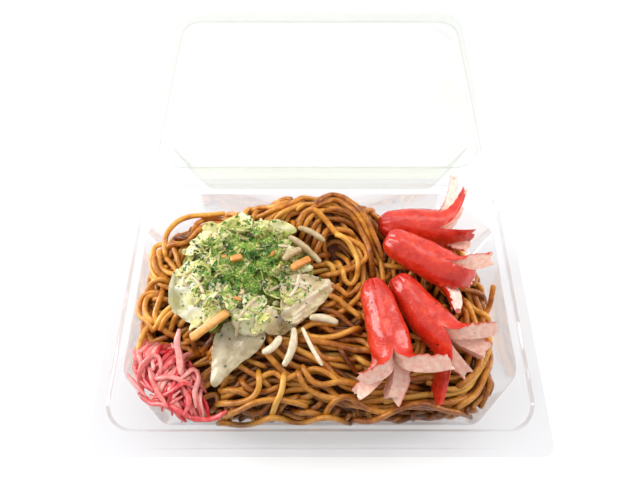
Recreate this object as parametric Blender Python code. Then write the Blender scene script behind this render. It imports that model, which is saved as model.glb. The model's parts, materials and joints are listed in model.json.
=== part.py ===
"""Yakisoba in a clear hinged food pack: fried noodles, cabbage, sprouts, carrot, red ginger and
four sausages cut into octopuses, in a shallow eight-sided tray whose lid lies open behind it.

Lengths are in millimetres, turned into metres when a mesh is made. The origin is the centre of
the tray floor's underside: X to the right, Y back to the hinge, Z up.
"""

import math
import random

import bpy
import bmesh
from mathutils import Matrix, Vector, noise
from mathutils.bvhtree import BVHTree

MM = 0.001
GAP = 0.35  # clear distance between pieces that touch in the real thing
SHEET = 0.4  # thickness of the pack's plastic

# ---- the tray -------------------------------------------------------------------------------
TRAY_HALF_WIDTH = 100.0
TRAY_HALF_LENGTH = 70.0
FLANGE_TOP = 32.0
FRONT_FLANGE = 10.7
SIDE_FLANGE = 5.0
BACK_FLANGE = 3.0
RECESS_DEPTH = 3.9  # the step inside the flange that the lid's bead drops into
RECESS_DRAFT = 0.7
TUB_HALF_WIDTH = 91.0
TUB_FRONT = -56.4
TUB_BACK = 63.0
TUB_CHAMFER = 22.0
TUB_DRAFT = 4.5  # how far the walls lean in from top to floor
FLOOR_FILLET = 1.8
FRONT_GROOVE = 1.2  # a stiffening channel pressed into the front flange

# ---- the lid, as it lies when shut ----------------------------------------------------------
HINGE_HEIGHT = FLANGE_TOP + 0.2
LID_HALF_WIDTH = 95.0
LID_LENGTH = 140.0
LID_START = 0.4  # from the hinge axis to the edge of the lid
LID_SEAT = 0.2  # from the hinge axis up to the underside of the lid's flange
BEAD_RINGS = (  # half width, front, back, height, and the front and back corners' radii
    (91.2, 128.4, 3.9, 0.0, 13.0, 15.0),
    (90.8, 128.0, 4.3, -3.0, 12.6, 14.6),
    (88.8, 126.9, 6.6, -3.0, 13.5, 14.0),
    (88.3, 126.4, 7.2, 0.0, 13.5, 14.0),
)
DOME_HALF_WIDTH = 87.3
DOME_BACK = 9.0
DOME_FRONT = 125.6
DOME_CHAMFER = 17.0
DOME_HEIGHT = 25.7
DOME_TOP_HALF_WIDTH = 78.5
DOME_TOP_BACK = 10.5
DOME_TOP_FRONT = 118.5
DOME_TOP_CHAMFER = 14.0
DOME_FILLET = 1.2

CORNER_POINTS = 7
SIDE_FRACTIONS = (0.05, 0.09, 0.91, 0.95)

# ---- the heaps ------------------------------------------------------------------------------
HEAP_CENTRE = Vector((-2.0, 0.0))
HEAP_SIDES = 72
HEAP_FLOOR = SHEET + GAP
HEAP_RIM = 25.5
HEAP_CLEAR = 0.8  # from the heaps to the walls of the tub
HEAP_DENT = 0.7  # from a heap up to what lies on it
HEAP_CROWN = 35.0
HEAP_LUMPS = 1.3
HEAP_BUMPS = (  # centre, half widths and height of each rise in the crown
    (4.0, 46.0, 34.0, 18.0, 14.5),
    (-42.0, 26.0, 26.0, 20.0, 6.0),
    (-10.0, -20.0, 30.0, 22.0, 3.0),
    (72.0, -20.0, 14.0, 26.0, -2.0),
)
MOUND_CENTRE = Vector((-37.0, 9.0))
MOUND_RADIUS = 31.0
MOUND_CROWN = 49.0
MOUND_LUMPS = 1.6
GINGER_CENTRE = Vector((-69.0, -37.0))
GINGER_HALF_LENGTH = 26.0
GINGER_HALF_WIDTH = 12.0
GINGER_TURN = math.radians(44)
GINGER_LOW = 23.0
GINGER_EDGE = 25.3
GINGER_RISE = 8.0
GINGER_LUMPS = 1.5


def colour(red, green, blue):
    """An sRGB colour of 0 to 255 as the linear values a shader takes."""
    channels = [value / 255 for value in (red, green, blue)]
    linear = [c / 12.92 if c <= 0.04045 else ((c + 0.055) / 1.055) ** 2.4 for c in channels]
    return (*linear, 1.0)


def material(name, base, roughness, alpha=1.0):
    made = bpy.data.materials.new(name)
    made.use_nodes = True
    shader = made.node_tree.nodes["Principled BSDF"]
    shader.inputs["Base Color"].default_value = base
    shader.inputs["Roughness"].default_value = roughness
    shader.inputs["Metallic"].default_value = 0.0
    shader.inputs["Alpha"].default_value = alpha
    return made


def add_object(name, points, faces, finish, smooth_angle=40.0, origin=Vector((0, 0, 0))):
    """A mesh object from points in millimetres, its origin at the point given."""
    mesh = bpy.data.meshes.new(name)
    mesh.from_pydata([(Vector(point) - origin) * MM for point in points], [], faces)
    mesh.validate()
    shape = bmesh.new()
    shape.from_mesh(mesh)
    bmesh.ops.recalc_face_normals(shape, faces=shape.faces)
    shape.to_mesh(mesh)
    shape.free()
    mesh.shade_smooth()
    mesh.set_sharp_from_angle(angle=math.radians(smooth_angle))
    mesh.materials.append(finish)
    made = bpy.data.objects.new(name, mesh)
    made.location = origin * MM
    bpy.context.collection.objects.link(made)
    return made


def bridge(first, second, count):
    """Quads between two closed rings of points that start at these indices."""
    return [
        (first + i, first + (i + 1) % count, second + (i + 1) % count, second + i)
        for i in range(count)
    ]


# ---- the pack's sheets ----------------------------------------------------------------------
def corner(place, along_in, along_out, kind, size):
    """The points round one corner of an outline: a round one, or a cut with small fillets."""
    points = []
    if kind == "round":
        centre = place - along_in * size + along_out * size
        for step in range(CORNER_POINTS):
            angle = math.pi / 2 * step / (CORNER_POINTS - 1)
            points.append(centre - along_out * size * math.cos(angle) + along_in * size * math.sin(angle))
        return points
    fillet = size * 0.25
    reach = fillet * math.tan(math.pi / 8)
    sagitta = fillet * (1 / math.cos(math.pi / 8) - 1)
    slope = (along_in + along_out).normalized()
    start = place - along_in * size
    end = place + along_out * size
    points.append(start - along_in * reach)
    points.append(start + (slope - along_in).normalized() * sagitta)
    points.append(start + slope * reach)
    points.append((start + end) / 2)
    points.append(end - slope * reach)
    points.append(end + (along_out - slope).normalized() * sagitta)
    points.append(end + along_out * reach)
    return points


def outline(half_width, front, back, height, front_corner, back_corner):
    """A closed ring seen from above, counterclockwise from the front left corner."""
    right = Vector((1.0, 0.0))
    away = Vector((0.0, 1.0))
    corners = (
        (Vector((-half_width, front)), -away, right, front_corner),
        (Vector((half_width, front)), right, away, front_corner),
        (Vector((half_width, back)), away, -right, back_corner),
        (Vector((-half_width, back)), -right, -away, back_corner),
    )
    rounded = [corner(place, come, go, *style) for place, come, go, style in corners]
    ring = list(rounded[0])
    for fraction in SIDE_FRACTIONS:
        ring.append(rounded[0][-1].lerp(rounded[1][0], fraction))
    for points in rounded[1:]:
        ring.extend(points)
    return [Vector((point.x, point.y, height)) for point in ring]


def between(first, second, fraction):
    return [a.lerp(b, fraction) for a, b in zip(first, second)]


def sheet(name, rings, finish, outward, origin):
    """A sheet through the rings, closed by a flat face in the last, with the plastic's thickness."""
    count = len(rings[0])
    points = [point for ring in rings for point in ring]
    faces = []
    for index in range(len(rings) - 1):
        faces.extend(bridge(index * count, (index + 1) * count, count))
    last = (len(rings) - 1) * count
    faces.append(tuple(range(last, last + count)))
    made = add_object(name, points, faces, finish, 30.0, origin)
    shape = bmesh.new()
    shape.from_mesh(made.data)
    if sum(face.normal.z * face.calc_area() for face in shape.faces) < 0:
        bmesh.ops.reverse_faces(shape, faces=shape.faces)
    shape.to_mesh(made.data)
    shape.free()
    solid = made.modifiers.new("thickness", "SOLIDIFY")
    solid.thickness = SHEET * MM
    solid.offset = outward
    solid.use_even_offset = True
    return made


def make_tray(finish):
    outer = outline(
        TRAY_HALF_WIDTH, -TRAY_HALF_LENGTH, TRAY_HALF_LENGTH, FLANGE_TOP, ("round", 5.0), ("round", 22.0)
    )
    rim = outline(
        TRAY_HALF_WIDTH - SIDE_FLANGE,
        -TRAY_HALF_LENGTH + FRONT_FLANGE,
        TRAY_HALF_LENGTH - BACK_FLANGE,
        FLANGE_TOP,
        ("round", 13.0),
        ("round", 18.0),
    )
    ledge_height = FLANGE_TOP - RECESS_DEPTH
    recess = outline(
        TRAY_HALF_WIDTH - SIDE_FLANGE - RECESS_DRAFT,
        -TRAY_HALF_LENGTH + FRONT_FLANGE + RECESS_DRAFT,
        TRAY_HALF_LENGTH - BACK_FLANGE - RECESS_DRAFT,
        ledge_height,
        ("round", 12.3),
        ("round", 17.3),
    )

    def tub(inset, height):
        return outline(
            TUB_HALF_WIDTH - inset,
            TUB_FRONT + inset,
            TUB_BACK - inset,
            height,
            ("cut", TUB_CHAMFER - inset * 0.6),
            ("cut", TUB_CHAMFER - inset * 0.6),
        )

    rings = [outer]
    groove_points = range(CORNER_POINTS + 1, CORNER_POINTS + len(SIDE_FRACTIONS) - 1)
    for fraction, depth in ((0.28, 0.0), (0.38, FRONT_GROOVE), (0.56, FRONT_GROOVE), (0.66, 0.0)):
        ring = between(outer, rim, fraction)
        for index in groove_points:
            ring[index].z -= depth
        rings.append(ring)
    rings += [rim, recess, tub(0.0, ledge_height), tub(TUB_DRAFT, SHEET + FLOOR_FILLET)]
    rings.append(tub(TUB_DRAFT + FLOOR_FILLET, SHEET))
    return sheet("tray", rings, finish, -1.0, Vector((0, 0, 0)))


def open_angle():
    """How far the lid turns back from shut until its top rests on the table."""
    low, high = math.pi, math.pi * 1.1
    reach = -DOME_TOP_FRONT
    depth = DOME_HEIGHT + LID_SEAT + SHEET
    for _ in range(40):
        middle = (low + high) / 2
        lowest = HINGE_HEIGHT - reach * math.sin(middle) + depth * math.cos(middle)
        if lowest > 0.15:
            low = middle
        else:
            high = middle
    return low


def make_lid(finish, hinge):
    def ring(half_width, front, back, height, front_corner, back_corner):
        points = outline(half_width, -front, -back, height + LID_SEAT, front_corner, back_corner)
        return [point + hinge for point in points]

    rings = [ring(LID_HALF_WIDTH, LID_LENGTH, LID_START, 0.0, ("round", 12.0), ("round", 17.0))]
    for half_width, front, back, height, front_radius, back_radius in BEAD_RINGS:
        rings.append(
            ring(half_width, front, back, height, ("round", front_radius), ("round", back_radius))
        )
    rings += [
        ring(DOME_HALF_WIDTH, DOME_FRONT, DOME_BACK, 0.0, ("cut", DOME_CHAMFER), ("cut", DOME_CHAMFER)),
        ring(
            DOME_TOP_HALF_WIDTH + DOME_FILLET,
            DOME_TOP_FRONT + DOME_FILLET,
            DOME_TOP_BACK,
            DOME_HEIGHT - DOME_FILLET,
            ("cut", DOME_TOP_CHAMFER),
            ("cut", DOME_TOP_CHAMFER),
        ),
        ring(
            DOME_TOP_HALF_WIDTH,
            DOME_TOP_FRONT,
            DOME_TOP_BACK + DOME_FILLET,
            DOME_HEIGHT,
            ("cut", DOME_TOP_CHAMFER),
            ("cut", DOME_TOP_CHAMFER),
        ),
    ]
    lid = sheet("lid", rings, finish, 1.0, hinge)
    lid.rotation_euler = (-open_angle(), 0.0, 0.0)
    return lid


# ---- the noodles' and vegetables' nominal surfaces ------------------------------------------
HEAP_REACH = (  # how far the noodles reach from their centre, by angle in degrees
    (-178, 87.0),
    (-160, 87.5),
    (-147, 85.0),
    (-137, 77.5),
    (-127, 68.5),
    (-90, 55.0),
    (-45, 77.0),
    (-36, 89.0),
    (-29, 93.0),
    (-12, 87.5),
    (4, 87.0),
    (24, 82.0),
    (42, 66.0),
    (62, 59.5),
    (88, 61.8),
    (118, 64.0),
    (139, 74.5),
    (155, 87.0),
    (168, 88.5),
)


def reach(angle):
    """The noodle heap's radius at an angle: a smooth curve through the named ones, inside the tub."""
    return min(free_reach(angle), tub_reach(HEAP_CENTRE, angle, HEAP_RIM, HEAP_CLEAR))


def free_reach(angle):
    """The smooth curve through the named radii of the noodle heap."""
    degrees = math.degrees(angle)
    known = HEAP_REACH
    count = len(known)
    if degrees < known[0][0]:
        degrees += 360
    index = max((i for i in range(count) if known[i][0] <= degrees), default=0)
    spans = []
    for offset in (-1, 0, 1, 2):
        turn, place = divmod(index + offset, count)
        spans.append((known[place][0] + 360 * turn, known[place][1]))
    (a0, r0), (a1, r1), (a2, r2), (a3, r3) = spans
    t = (degrees - a1) / (a2 - a1)
    m1 = (r2 - r0) / (a2 - a0) * (a2 - a1)
    m2 = (r3 - r1) / (a3 - a1) * (a2 - a1)
    return (
        (2 * t**3 - 3 * t**2 + 1) * r1
        + (t**3 - 2 * t**2 + t) * m1
        + (-2 * t**3 + 3 * t**2) * r2
        + (t**3 - t**2) * m2
    )


def tub_reach(centre, angle, height, clear):
    """How far the tub's wall is from a place inside it, at an angle and a height."""
    wall = min(max((FLANGE_TOP - RECESS_DEPTH - height) / (FLANGE_TOP - RECESS_DEPTH - SHEET), 0.0), 1.0)
    inset = TUB_DRAFT * wall + clear
    if height < SHEET + FLOOR_FILLET:
        inset += FLOOR_FILLET
    direction = Vector((math.cos(angle), math.sin(angle)))
    nearest = math.inf
    for side in (-1, 1):
        for edge_y in (TUB_FRONT, TUB_BACK):
            end = math.copysign(1, edge_y)
            diagonal = Vector((side, end)).normalized()
            cut = (TUB_HALF_WIDTH + abs(edge_y) - TUB_CHAMFER - 1.41 * inset) / math.sqrt(2)
            walls = (
                (Vector((side, 0)), TUB_HALF_WIDTH - inset),
                (Vector((0, end)), abs(edge_y) - inset),
                (diagonal, cut),
            )
            for normal, distance in walls:
                speed = normal.dot(direction)
                if speed > 1e-6:
                    nearest = min(nearest, (distance - normal.dot(centre)) / speed)
    return nearest


def bump(x, y, centre_x, centre_y, width_x, width_y, height):
    return height * math.exp(-(((x - centre_x) / width_x) ** 2) - ((y - centre_y) / width_y) ** 2)


def noodle_top(x, y):
    """The height of the noodles at a place, before what lies on them presses in."""
    offset = Vector((x, y)) - HEAP_CENTRE
    share = min(offset.length / reach(math.atan2(offset.y, offset.x)), 1.0)
    crown = HEAP_CROWN + sum(bump(x, y, *shape) for shape in HEAP_BUMPS)
    edge = (1 - share**6) ** 0.6
    lumps = HEAP_LUMPS * noise.noise(Vector((x, y, 4.0)) / 11)
    return HEAP_RIM + (crown + lumps - HEAP_RIM) * edge


def mound_share(x, y):
    offset = Vector((x, y)) - MOUND_CENTRE
    turn = math.atan2(offset.y, offset.x)
    radius = MOUND_RADIUS + 3.0 * math.cos(2 * turn) + 1.5 * math.sin(3 * turn + 1)
    return offset.length / radius


def ground(x, y):
    """The top of the vegetables where they lie, and of the noodles elsewhere."""
    share = min(mound_share(x, y), 1.0)
    top = noodle_top(x, y)
    crown = MOUND_CROWN + MOUND_LUMPS * noise.noise(Vector((x, y, 9.0)) / 9)
    return top + max(crown - top, 0.0) * (1 - share**2.4) ** 0.8


# ---- builders for the food ------------------------------------------------------------------
def lowest_above(trees, x, y, spread):
    """The lowest height of anything above a place, looked for all round it as well."""
    low = math.inf
    for ring in (0.0, spread / 2, spread):
        for turn in range(12 if ring else 1):
            angle = math.pi / 6 * turn
            start = Vector((x + ring * math.cos(angle), y + ring * math.sin(angle), 5.0))
            for tree in trees:
                place = tree.ray_cast(start, Vector((0, 0, 1)))[0]
                if place is not None:
                    low = min(low, place.z)
    return low


def tree_of(thing):
    """A search tree of one object's surface, in millimetres in the world."""
    bpy.context.view_layer.update()
    evaluated = thing.evaluated_get(bpy.context.evaluated_depsgraph_get())
    mesh = evaluated.to_mesh()
    points = [thing.matrix_world @ vertex.co / MM for vertex in mesh.vertices]
    tree = BVHTree.FromPolygons(points, [tuple(face.vertices) for face in mesh.polygons])
    evaluated.to_mesh_clear()
    return tree


def heap(name, finish, centre, radius_at, top_at, bottom_at, shares, sides, above, spread):
    """A heap as rings of points round its centre, pressed down under what lies above it."""
    trees = [tree_of(thing) for thing in above]

    def place(share, step):
        angle = 2 * math.pi * step / sides - math.pi
        distance = radius_at(angle) * share
        return centre.x + distance * math.cos(angle), centre.y + distance * math.sin(angle)

    def top_point(x, y):
        height = min(top_at(x, y), lowest_above(trees, x, y, spread) - HEAP_DENT)
        return Vector((x, y, height))

    points = []
    for share in shares:
        points.extend(top_point(*place(share, step)) for step in range(sides))
    rings = len(shares)
    points.append(top_point(centre.x, centre.y))
    faces = []
    for ring in range(rings - 1):
        faces.extend(bridge(ring * sides, (ring + 1) * sides, sides))
    top = rings * sides
    faces.extend(((rings - 1) * sides + i, (rings - 1) * sides + (i + 1) % sides, top) for i in range(sides))
    below, low_faces = bottom_at(points[:sides], len(points))
    points.extend(below)
    faces.extend(low_faces)
    return add_object(name, points, faces, finish, 60.0)


def frames_along(path):
    """A frame that slides along a path without twisting: tangent, side and up at each point."""
    tangents = []
    for index in range(len(path)):
        before = path[max(index - 1, 0)]
        after = path[min(index + 1, len(path) - 1)]
        tangents.append((after - before).normalized())
    up = Vector((0, 0, 1))
    up = (up - tangents[0] * up.dot(tangents[0])).normalized()
    frames = []
    for tangent in tangents:
        up = (up - tangent * up.dot(tangent)).normalized()
        frames.append((tangent, tangent.cross(up), up))
    return frames


def curve_points(start, middle, end, steps):
    """Points on the parabola that leaves the start towards the middle and arrives at the end."""
    made = []
    for step in range(steps + 1):
        t = step / steps
        made.append(start * (1 - t) ** 2 + middle * 2 * t * (1 - t) + end * t**2)
    return made


def rod(name, path, radii, sides, finish):
    """A round or oval bar along a path, closed at both ends by a point."""
    points = []
    faces = []
    for (_, side, up), place, radius in zip(frames_along(path), path, radii):
        for step in range(sides):
            angle = 2 * math.pi * step / sides
            offset = side * math.cos(angle) + up * math.sin(angle)
            points.append(place + offset * radius)
    for ring in range(len(path) - 1):
        faces.extend(bridge(ring * sides, (ring + 1) * sides, sides))
    tangent_in = (path[0] - path[1]).normalized()
    tangent_out = (path[-1] - path[-2]).normalized()
    start, end = len(points), len(points) + 1
    points.append(path[0] + tangent_in * radii[0] * 0.5)
    points.append(path[-1] + tangent_out * radii[-1] * 0.5)
    last = (len(path) - 1) * sides
    for i in range(sides):
        faces.append((start, (i + 1) % sides, i))
        faces.append((end, last + i, last + (i + 1) % sides))
    return add_object(name, points, faces, finish)


# ---- the sausages ---------------------------------------------------------------------------
# Each has its head, the middle of its body and the place where its legs begin, and how wide its
# head is beside its body. Then come its legs: where on the body a leg's cut starts, in degrees
# from the top towards the left as seen from the legs, how many degrees of the body it takes, the
# place its tip has curled to, how far it rolls over on the way, and how much narrower its tip is.
SAUSAGES = {
    "sausage_1": {
        "radius": 9.2,
        "head": (23.2, 5.0, 49.0),
        "middle": (28.2, -13.5, 46.6),
        "split": (31.4, -28.5, 45.6),
        "head_size": 0.74,
        "legs": (
            (-100, 105, (54.2, -34.5, 50.8), -60, 0.15),
            (5, 80, (17.0, -39.5, 46.0), 60, 0.35),
            (85, 80, (16.0, -46.0, 39.5), 15, 0.35),
            (165, 95, (30.5, -47.5, 36.5), 0, 0.35),
        ),
    },
    "sausage_2": {
        "radius": 9.0,
        "head": (35.2, 7.6, 46.2),
        "middle": (44.8, -7.0, 43.0),
        "split": (54.4, -18.2, 42.4),
        "head_size": 0.76,
        "legs": (
            (-85, 90, (78.0, -17.5, 44.5), -65, 0.15),
            (5, 90, (52.0, -46.5, 33.8), 20, 0.35),
            (95, 85, (66.0, -36.0, 36.0), 15, 0.6),
            (180, 95, (75.0, -27.5, 39.0), 10, 0.15),
        ),
    },
    "sausage_3": {
        "radius": 8.9,
        "head": (30.8, 26.0, 48.0),
        "middle": (44.5, 18.6, 47.0),
        "split": (57.2, 10.8, 46.6),
        "head_size": 0.8,
        "legs": (
            (-85, 80, (80.5, 15.5, 46.5), -65, 0.1),
            (-5, 90, (71.5, 6.5, 44.5), 0, 0.3),
            (85, 90, (62.0, -8.5, 43.0), -30, 0.5),
            (175, 100, (74.0, 9.0, 38.5), 0, 0.3),
        ),
    },
    "sausage_4": {
        "radius": 8.8,
        "head": (29.3, 37.5, 39.6),
        "middle": (44.5, 37.6, 38.8),
        "split": (58.0, 36.0, 40.0),
        "head_size": 0.82,
        "legs": (
            (-100, 65, (66.2, 58.0, 55.0), -45, 0.75),
            (-35, 65, (72.0, 50.5, 52.5), 0, 0.75),
            (30, 75, (76.2, 31.0, 42.5), 0, 0.35),
            (105, 80, (75.0, 27.0, 34.0), 0, 0.3),
            (185, 75, (72.0, 48.0, 37.0), 0, 0.4),
        ),
    },
}
BODY_RINGS = 8
LEG_RINGS = 6
LEG_ARC = 3  # steps across the skin of one leg
LEG_MIDDLE = 6.0  # from the sausage's centre line out to the middle of a leg
LEG_THINNING = 0.45  # how much of its depth a leg has lost at its tip
ROLL_END = 0.6  # how far along a leg its roll is complete
HEAD_SHARE = 0.24  # the share of the body that the rounded head takes


def eased(value):
    """From 0 to 1 without a sudden start or stop."""
    value = min(max(value, 0.0), 1.0)
    return value * value * (3 - 2 * value)


def sausage(name, plan, finish):
    """A sausage with a rounded head, whose other end is cut into legs that curl outwards."""
    head, middle, split = (Vector(plan[key]) for key in ("head", "middle", "split"))
    full_radius = plan["radius"]
    head_size = plan["head_size"]
    bend = middle * 2 - (head + split) / 2
    path = curve_points(head, bend, split, BODY_RINGS)
    frames = frames_along(path)
    turns = []
    for start_turn, width, *_ in plan["legs"]:
        turns.extend(start_turn + width * step / LEG_ARC for step in range(LEG_ARC))
    sides = len(turns)

    def across(frame, turn):
        _, side, up = frame
        angle = math.radians(turn)
        return up * math.cos(angle) + side * math.sin(angle)

    points = []
    for index in range(1, BODY_RINGS + 1):
        share = index / BODY_RINGS
        roundness = min(share / HEAD_SHARE, 1.0)
        radius = full_radius * (head_size + (1 - head_size) * eased(share / 0.85))
        radius *= math.sqrt(1 - (1 - roundness) ** 2)
        points.extend(path[index] + across(frames[index], turn) * radius for turn in turns)
    tip = len(points)
    points.append(path[0])
    faces = [(tip, (i + 1) % sides, i) for i in range(sides)]
    for ring in range(BODY_RINGS - 1):
        faces.extend(bridge(ring * sides, (ring + 1) * sides, sides))
    rim = (BODY_RINGS - 1) * sides
    core = len(points)
    points.append(path[-1])
    for number, (start_turn, width, leg_tip, roll, narrowing) in enumerate(plan["legs"]):
        first = [core] + [rim + (number * LEG_ARC + step) % sides for step in range(LEG_ARC + 1)]
        start = path[-1] + across(frames[-1], start_turn + width / 2) * LEG_MIDDLE
        leg_path = curve_points(start, start + frames[-1][0] * 9, Vector(leg_tip), LEG_RINGS)
        leg_frames = leg_turned(leg_path, frames[-1])
        for ring in range(1, LEG_RINGS + 1):
            share = ring / LEG_RINGS
            depth = 1 - LEG_THINNING * share
            place = leg_path[ring]
            frame = leg_frames[ring]
            rolled = roll * eased(share / ROLL_END)
            outward = across(frame, start_turn + width / 2 + rolled)
            spare = width * narrowing * share / 2
            begin = len(points)
            points.append(place - outward * LEG_MIDDLE * depth)
            for step in range(LEG_ARC + 1):
                turn = start_turn + spare + (width - 2 * spare) * step / LEG_ARC + rolled
                arm = across(frame, turn) * full_radius
                inward = arm.dot(outward) * (1 - depth)
                points.append(place + arm - outward * (LEG_MIDDLE * depth + inward))
            second = list(range(begin, begin + LEG_ARC + 2))
            for i in range(len(first)):
                j = (i + 1) % len(first)
                faces.append((first[i], first[j], second[j], second[i]))
            first = second
        faces.append(tuple(first))
    return add_object(name, points, faces, finish, 50.0)


def leg_turned(path, start_frame):
    """Frames along a leg that start as the body's frame, and only bend with the path."""
    frames = [start_frame]
    for index in range(1, len(path)):
        after = path[min(index + 1, len(path) - 1)]
        tangent = (after - path[index - 1]).normalized()
        bend = frames[-1][0].rotation_difference(tangent)
        _, side, up = frames[-1]
        frames.append((tangent, bend @ side, bend @ up))
    return frames


# ---- the vegetables -------------------------------------------------------------------------
# Each leaf has its height above what it lies on, how much its edge curls, its thickness, and the
# corners of its outline. The last one is folded over.
LEAVES = {
    "cabbage_1": (
        (1.2, 2.5, 0.9),
        ((-70, -6), (-71, 3), (-69, 11), (-62, 14), (-54, 11)),
        ((-47, 3), (-44, -7), (-47, -15), (-55, -17), (-63, -12)),
    ),
    "cabbage_2": (
        (1.2, 2.0, 0.9),
        ((-67, 21), (-61, 28), (-54, 33), (-46, 31)),
        ((-45, 25), (-53, 20), (-61, 18)),
    ),
    "cabbage_3": (
        (1.2, 2.5, 0.9),
        ((-45, 33), (-40, 39), (-33, 38), (-24, 37), (-14, 34)),
        ((-12, 30), (-20, 28), (-31, 29), (-41, 29)),
    ),
    "cabbage_4": (
        (1.1, 0.9, 0.9),
        ((-46, -17), (-35, -14), (-25, -18), (-28, -26)),
        ((-38, -34), (-47, -42), (-49, -30)),
    ),
    "cabbage_5": (
        (1.6, 2.5, 0.9),
        ((-18, 5), (-8, 8), (5, 7), (2, -2)),
        ((-5, -10), (-12, -15), (-17, -13), (-18, -4)),
    ),
    "cabbage_6": (
        (4.9, 0.6, 2.4),
        ((-40, -13), (-33, -10), (-25, -9), (-20, -8)),
        ((-20, -14), (-26, -19), (-35, -20)),
    ),
}
LEAF_SIDES = 20
LEAF_SHARES = (1.0, 0.72, 0.4)


def closed_curve(corners, count):
    """Points evenly along a smooth loop through the corners, by their share of the way round."""
    corners = [Vector(corner) for corner in corners]
    size = len(corners)
    dense = []
    for index in range(size):
        before, here, after, beyond = (corners[(index + move) % size] for move in (-1, 0, 1, 2))
        leaving, arriving = (after - before) / 2, (beyond - here) / 2
        for step in range(12):
            t = step / 12
            bow = leaving * (t - 2 * t**2 + t**3) + arriving * (t**3 - t**2)
            dense.append(here + (after - here) * (3 * t**2 - 2 * t**3) + bow)
    gaps = [(dense[(i + 1) % len(dense)] - point).length for i, point in enumerate(dense)]
    spots = []
    walked, index = 0.0, 0
    for step in range(count):
        goal = sum(gaps) * step / count
        while walked + gaps[index] < goal:
            walked += gaps[index]
            index += 1
        share = (goal - walked) / gaps[index]
        spots.append(dense[index].lerp(dense[(index + 1) % len(dense)], share))
    return spots


def leaf(name, plan, finish):
    """A limp piece of cabbage that lies over what is under it."""
    (lift, curl, thickness), far_corners, near_corners = plan
    rim = closed_curve(far_corners + near_corners, LEAF_SIDES)
    centre = sum(rim, Vector((0, 0))) / LEAF_SIDES

    def place(share, step):
        spot = centre.lerp(rim[step], share)
        wave = curl * share**2 * (0.5 + 0.5 * math.sin(4 * math.pi * step / LEAF_SIDES + centre.x))
        return Vector((spot.x, spot.y, ground(spot.x, spot.y) + lift + wave))

    upper = [place(share, step) for share in LEAF_SHARES for step in range(LEAF_SIDES)]
    upper.append(place(0.0, 0))
    drop = Vector((0, 0, thickness))
    points = upper + [point - drop for point in upper]
    half = len(upper)
    rings = len(LEAF_SHARES)
    faces = []
    for base in (0, half):
        for ring in range(rings - 1):
            faces.extend(bridge(base + ring * LEAF_SIDES, base + (ring + 1) * LEAF_SIDES, LEAF_SIDES))
        inner = base + (rings - 1) * LEAF_SIDES
        middle = base + rings * LEAF_SIDES
        faces.extend((inner + i, inner + (i + 1) % LEAF_SIDES, middle) for i in range(LEAF_SIDES))
    faces.extend(bridge(0, half, LEAF_SIDES))
    return add_object(name, points, faces, finish, 60.0)


# Each carrot stick's start, end, width and depth.
CARROTS = {
    "carrot_1": ((-57.0, -22.0, 44.0), (-41.2, -12.0, 49.5), 3.5, 2.8),
    "carrot_2": ((-13.0, 9.0, 50.0), (-5.0, 14.5, 48.5), 3.2, 2.8),
    "carrot_3": ((-41.0, 12.8, 51.5), (-36.5, 14.2, 51.3), 2.8, 2.4),
}


def carrot(name, plan, finish):
    """A stick with a rectangular section and slightly eased ends."""
    start, end, width, depth = Vector(plan[0]), Vector(plan[1]), plan[2], plan[3]
    along = (end - start).normalized()
    side = along.cross(Vector((0, 0, 1))).normalized()
    up = side.cross(along)
    points = []
    ease = 0.5
    sections = ((start, 1 - 2 * ease / width), (start + along * ease, 1.0))
    sections += ((end - along * ease, 1.0), (end, 1 - 2 * ease / width))
    for place, scale in sections:
        for across, lift in ((-1, -1), (1, -1), (1, 1), (-1, 1)):
            points.append(place + (side * across * width + up * lift * depth) * scale / 2)
    faces = [(0, 1, 2, 3), (12, 13, 14, 15)]
    for ring in range(3):
        faces.extend(bridge(ring * 4, ring * 4 + 4, 4))
    return add_object(name, points, faces, finish, 35.0)


# Each sprout's start, the point it bends round, its end, and its radius.
SPROUTS = {
    "sprout_1": ((-12.0, -17.0), (-10.5, -25.0), (-16.0, -33.0), 2.1),
    "sprout_2": ((-25.5, -27.5), (-20.5, -26.5), (-18.0, -20.5), 2.0),
    "sprout_3": ((-4.5, -11.5), (2.0, -10.5), (8.0, -13.8), 2.1),
    "sprout_4": ((-8.0, -16.5), (-5.0, -24.0), (1.0, -33.0), 1.2),
    "sprout_5": ((-10.5, 32.5), (-4.0, 31.5), (2.0, 26.5), 1.6),
    "sprout_6": ((-15.0, 27.0), (-6.0, 23.5), (0.0, 16.5), 1.9),
    "sprout_7": ((-17.0, 14.0), (-13.5, 18.5), (-9.5, 21.0), 1.9),
}
SPROUT_STEPS = 8


def sprout(name, plan, finish):
    """A bean sprout: a plump curved stem, thinner at its ends."""
    start, bend, end, radius = plan
    flat = curve_points(Vector(start), Vector(bend), Vector(end), SPROUT_STEPS)
    path = [Vector((spot.x, spot.y, ground(spot.x, spot.y) + radius + 1.0)) for spot in flat]
    swell = [math.sin(math.pi * step / SPROUT_STEPS) ** 0.6 for step in range(SPROUT_STEPS)] + [0.0]
    radii = [radius * (0.55 + 0.45 * share) for share in swell]
    return rod(name, path, radii, 8, finish)


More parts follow.
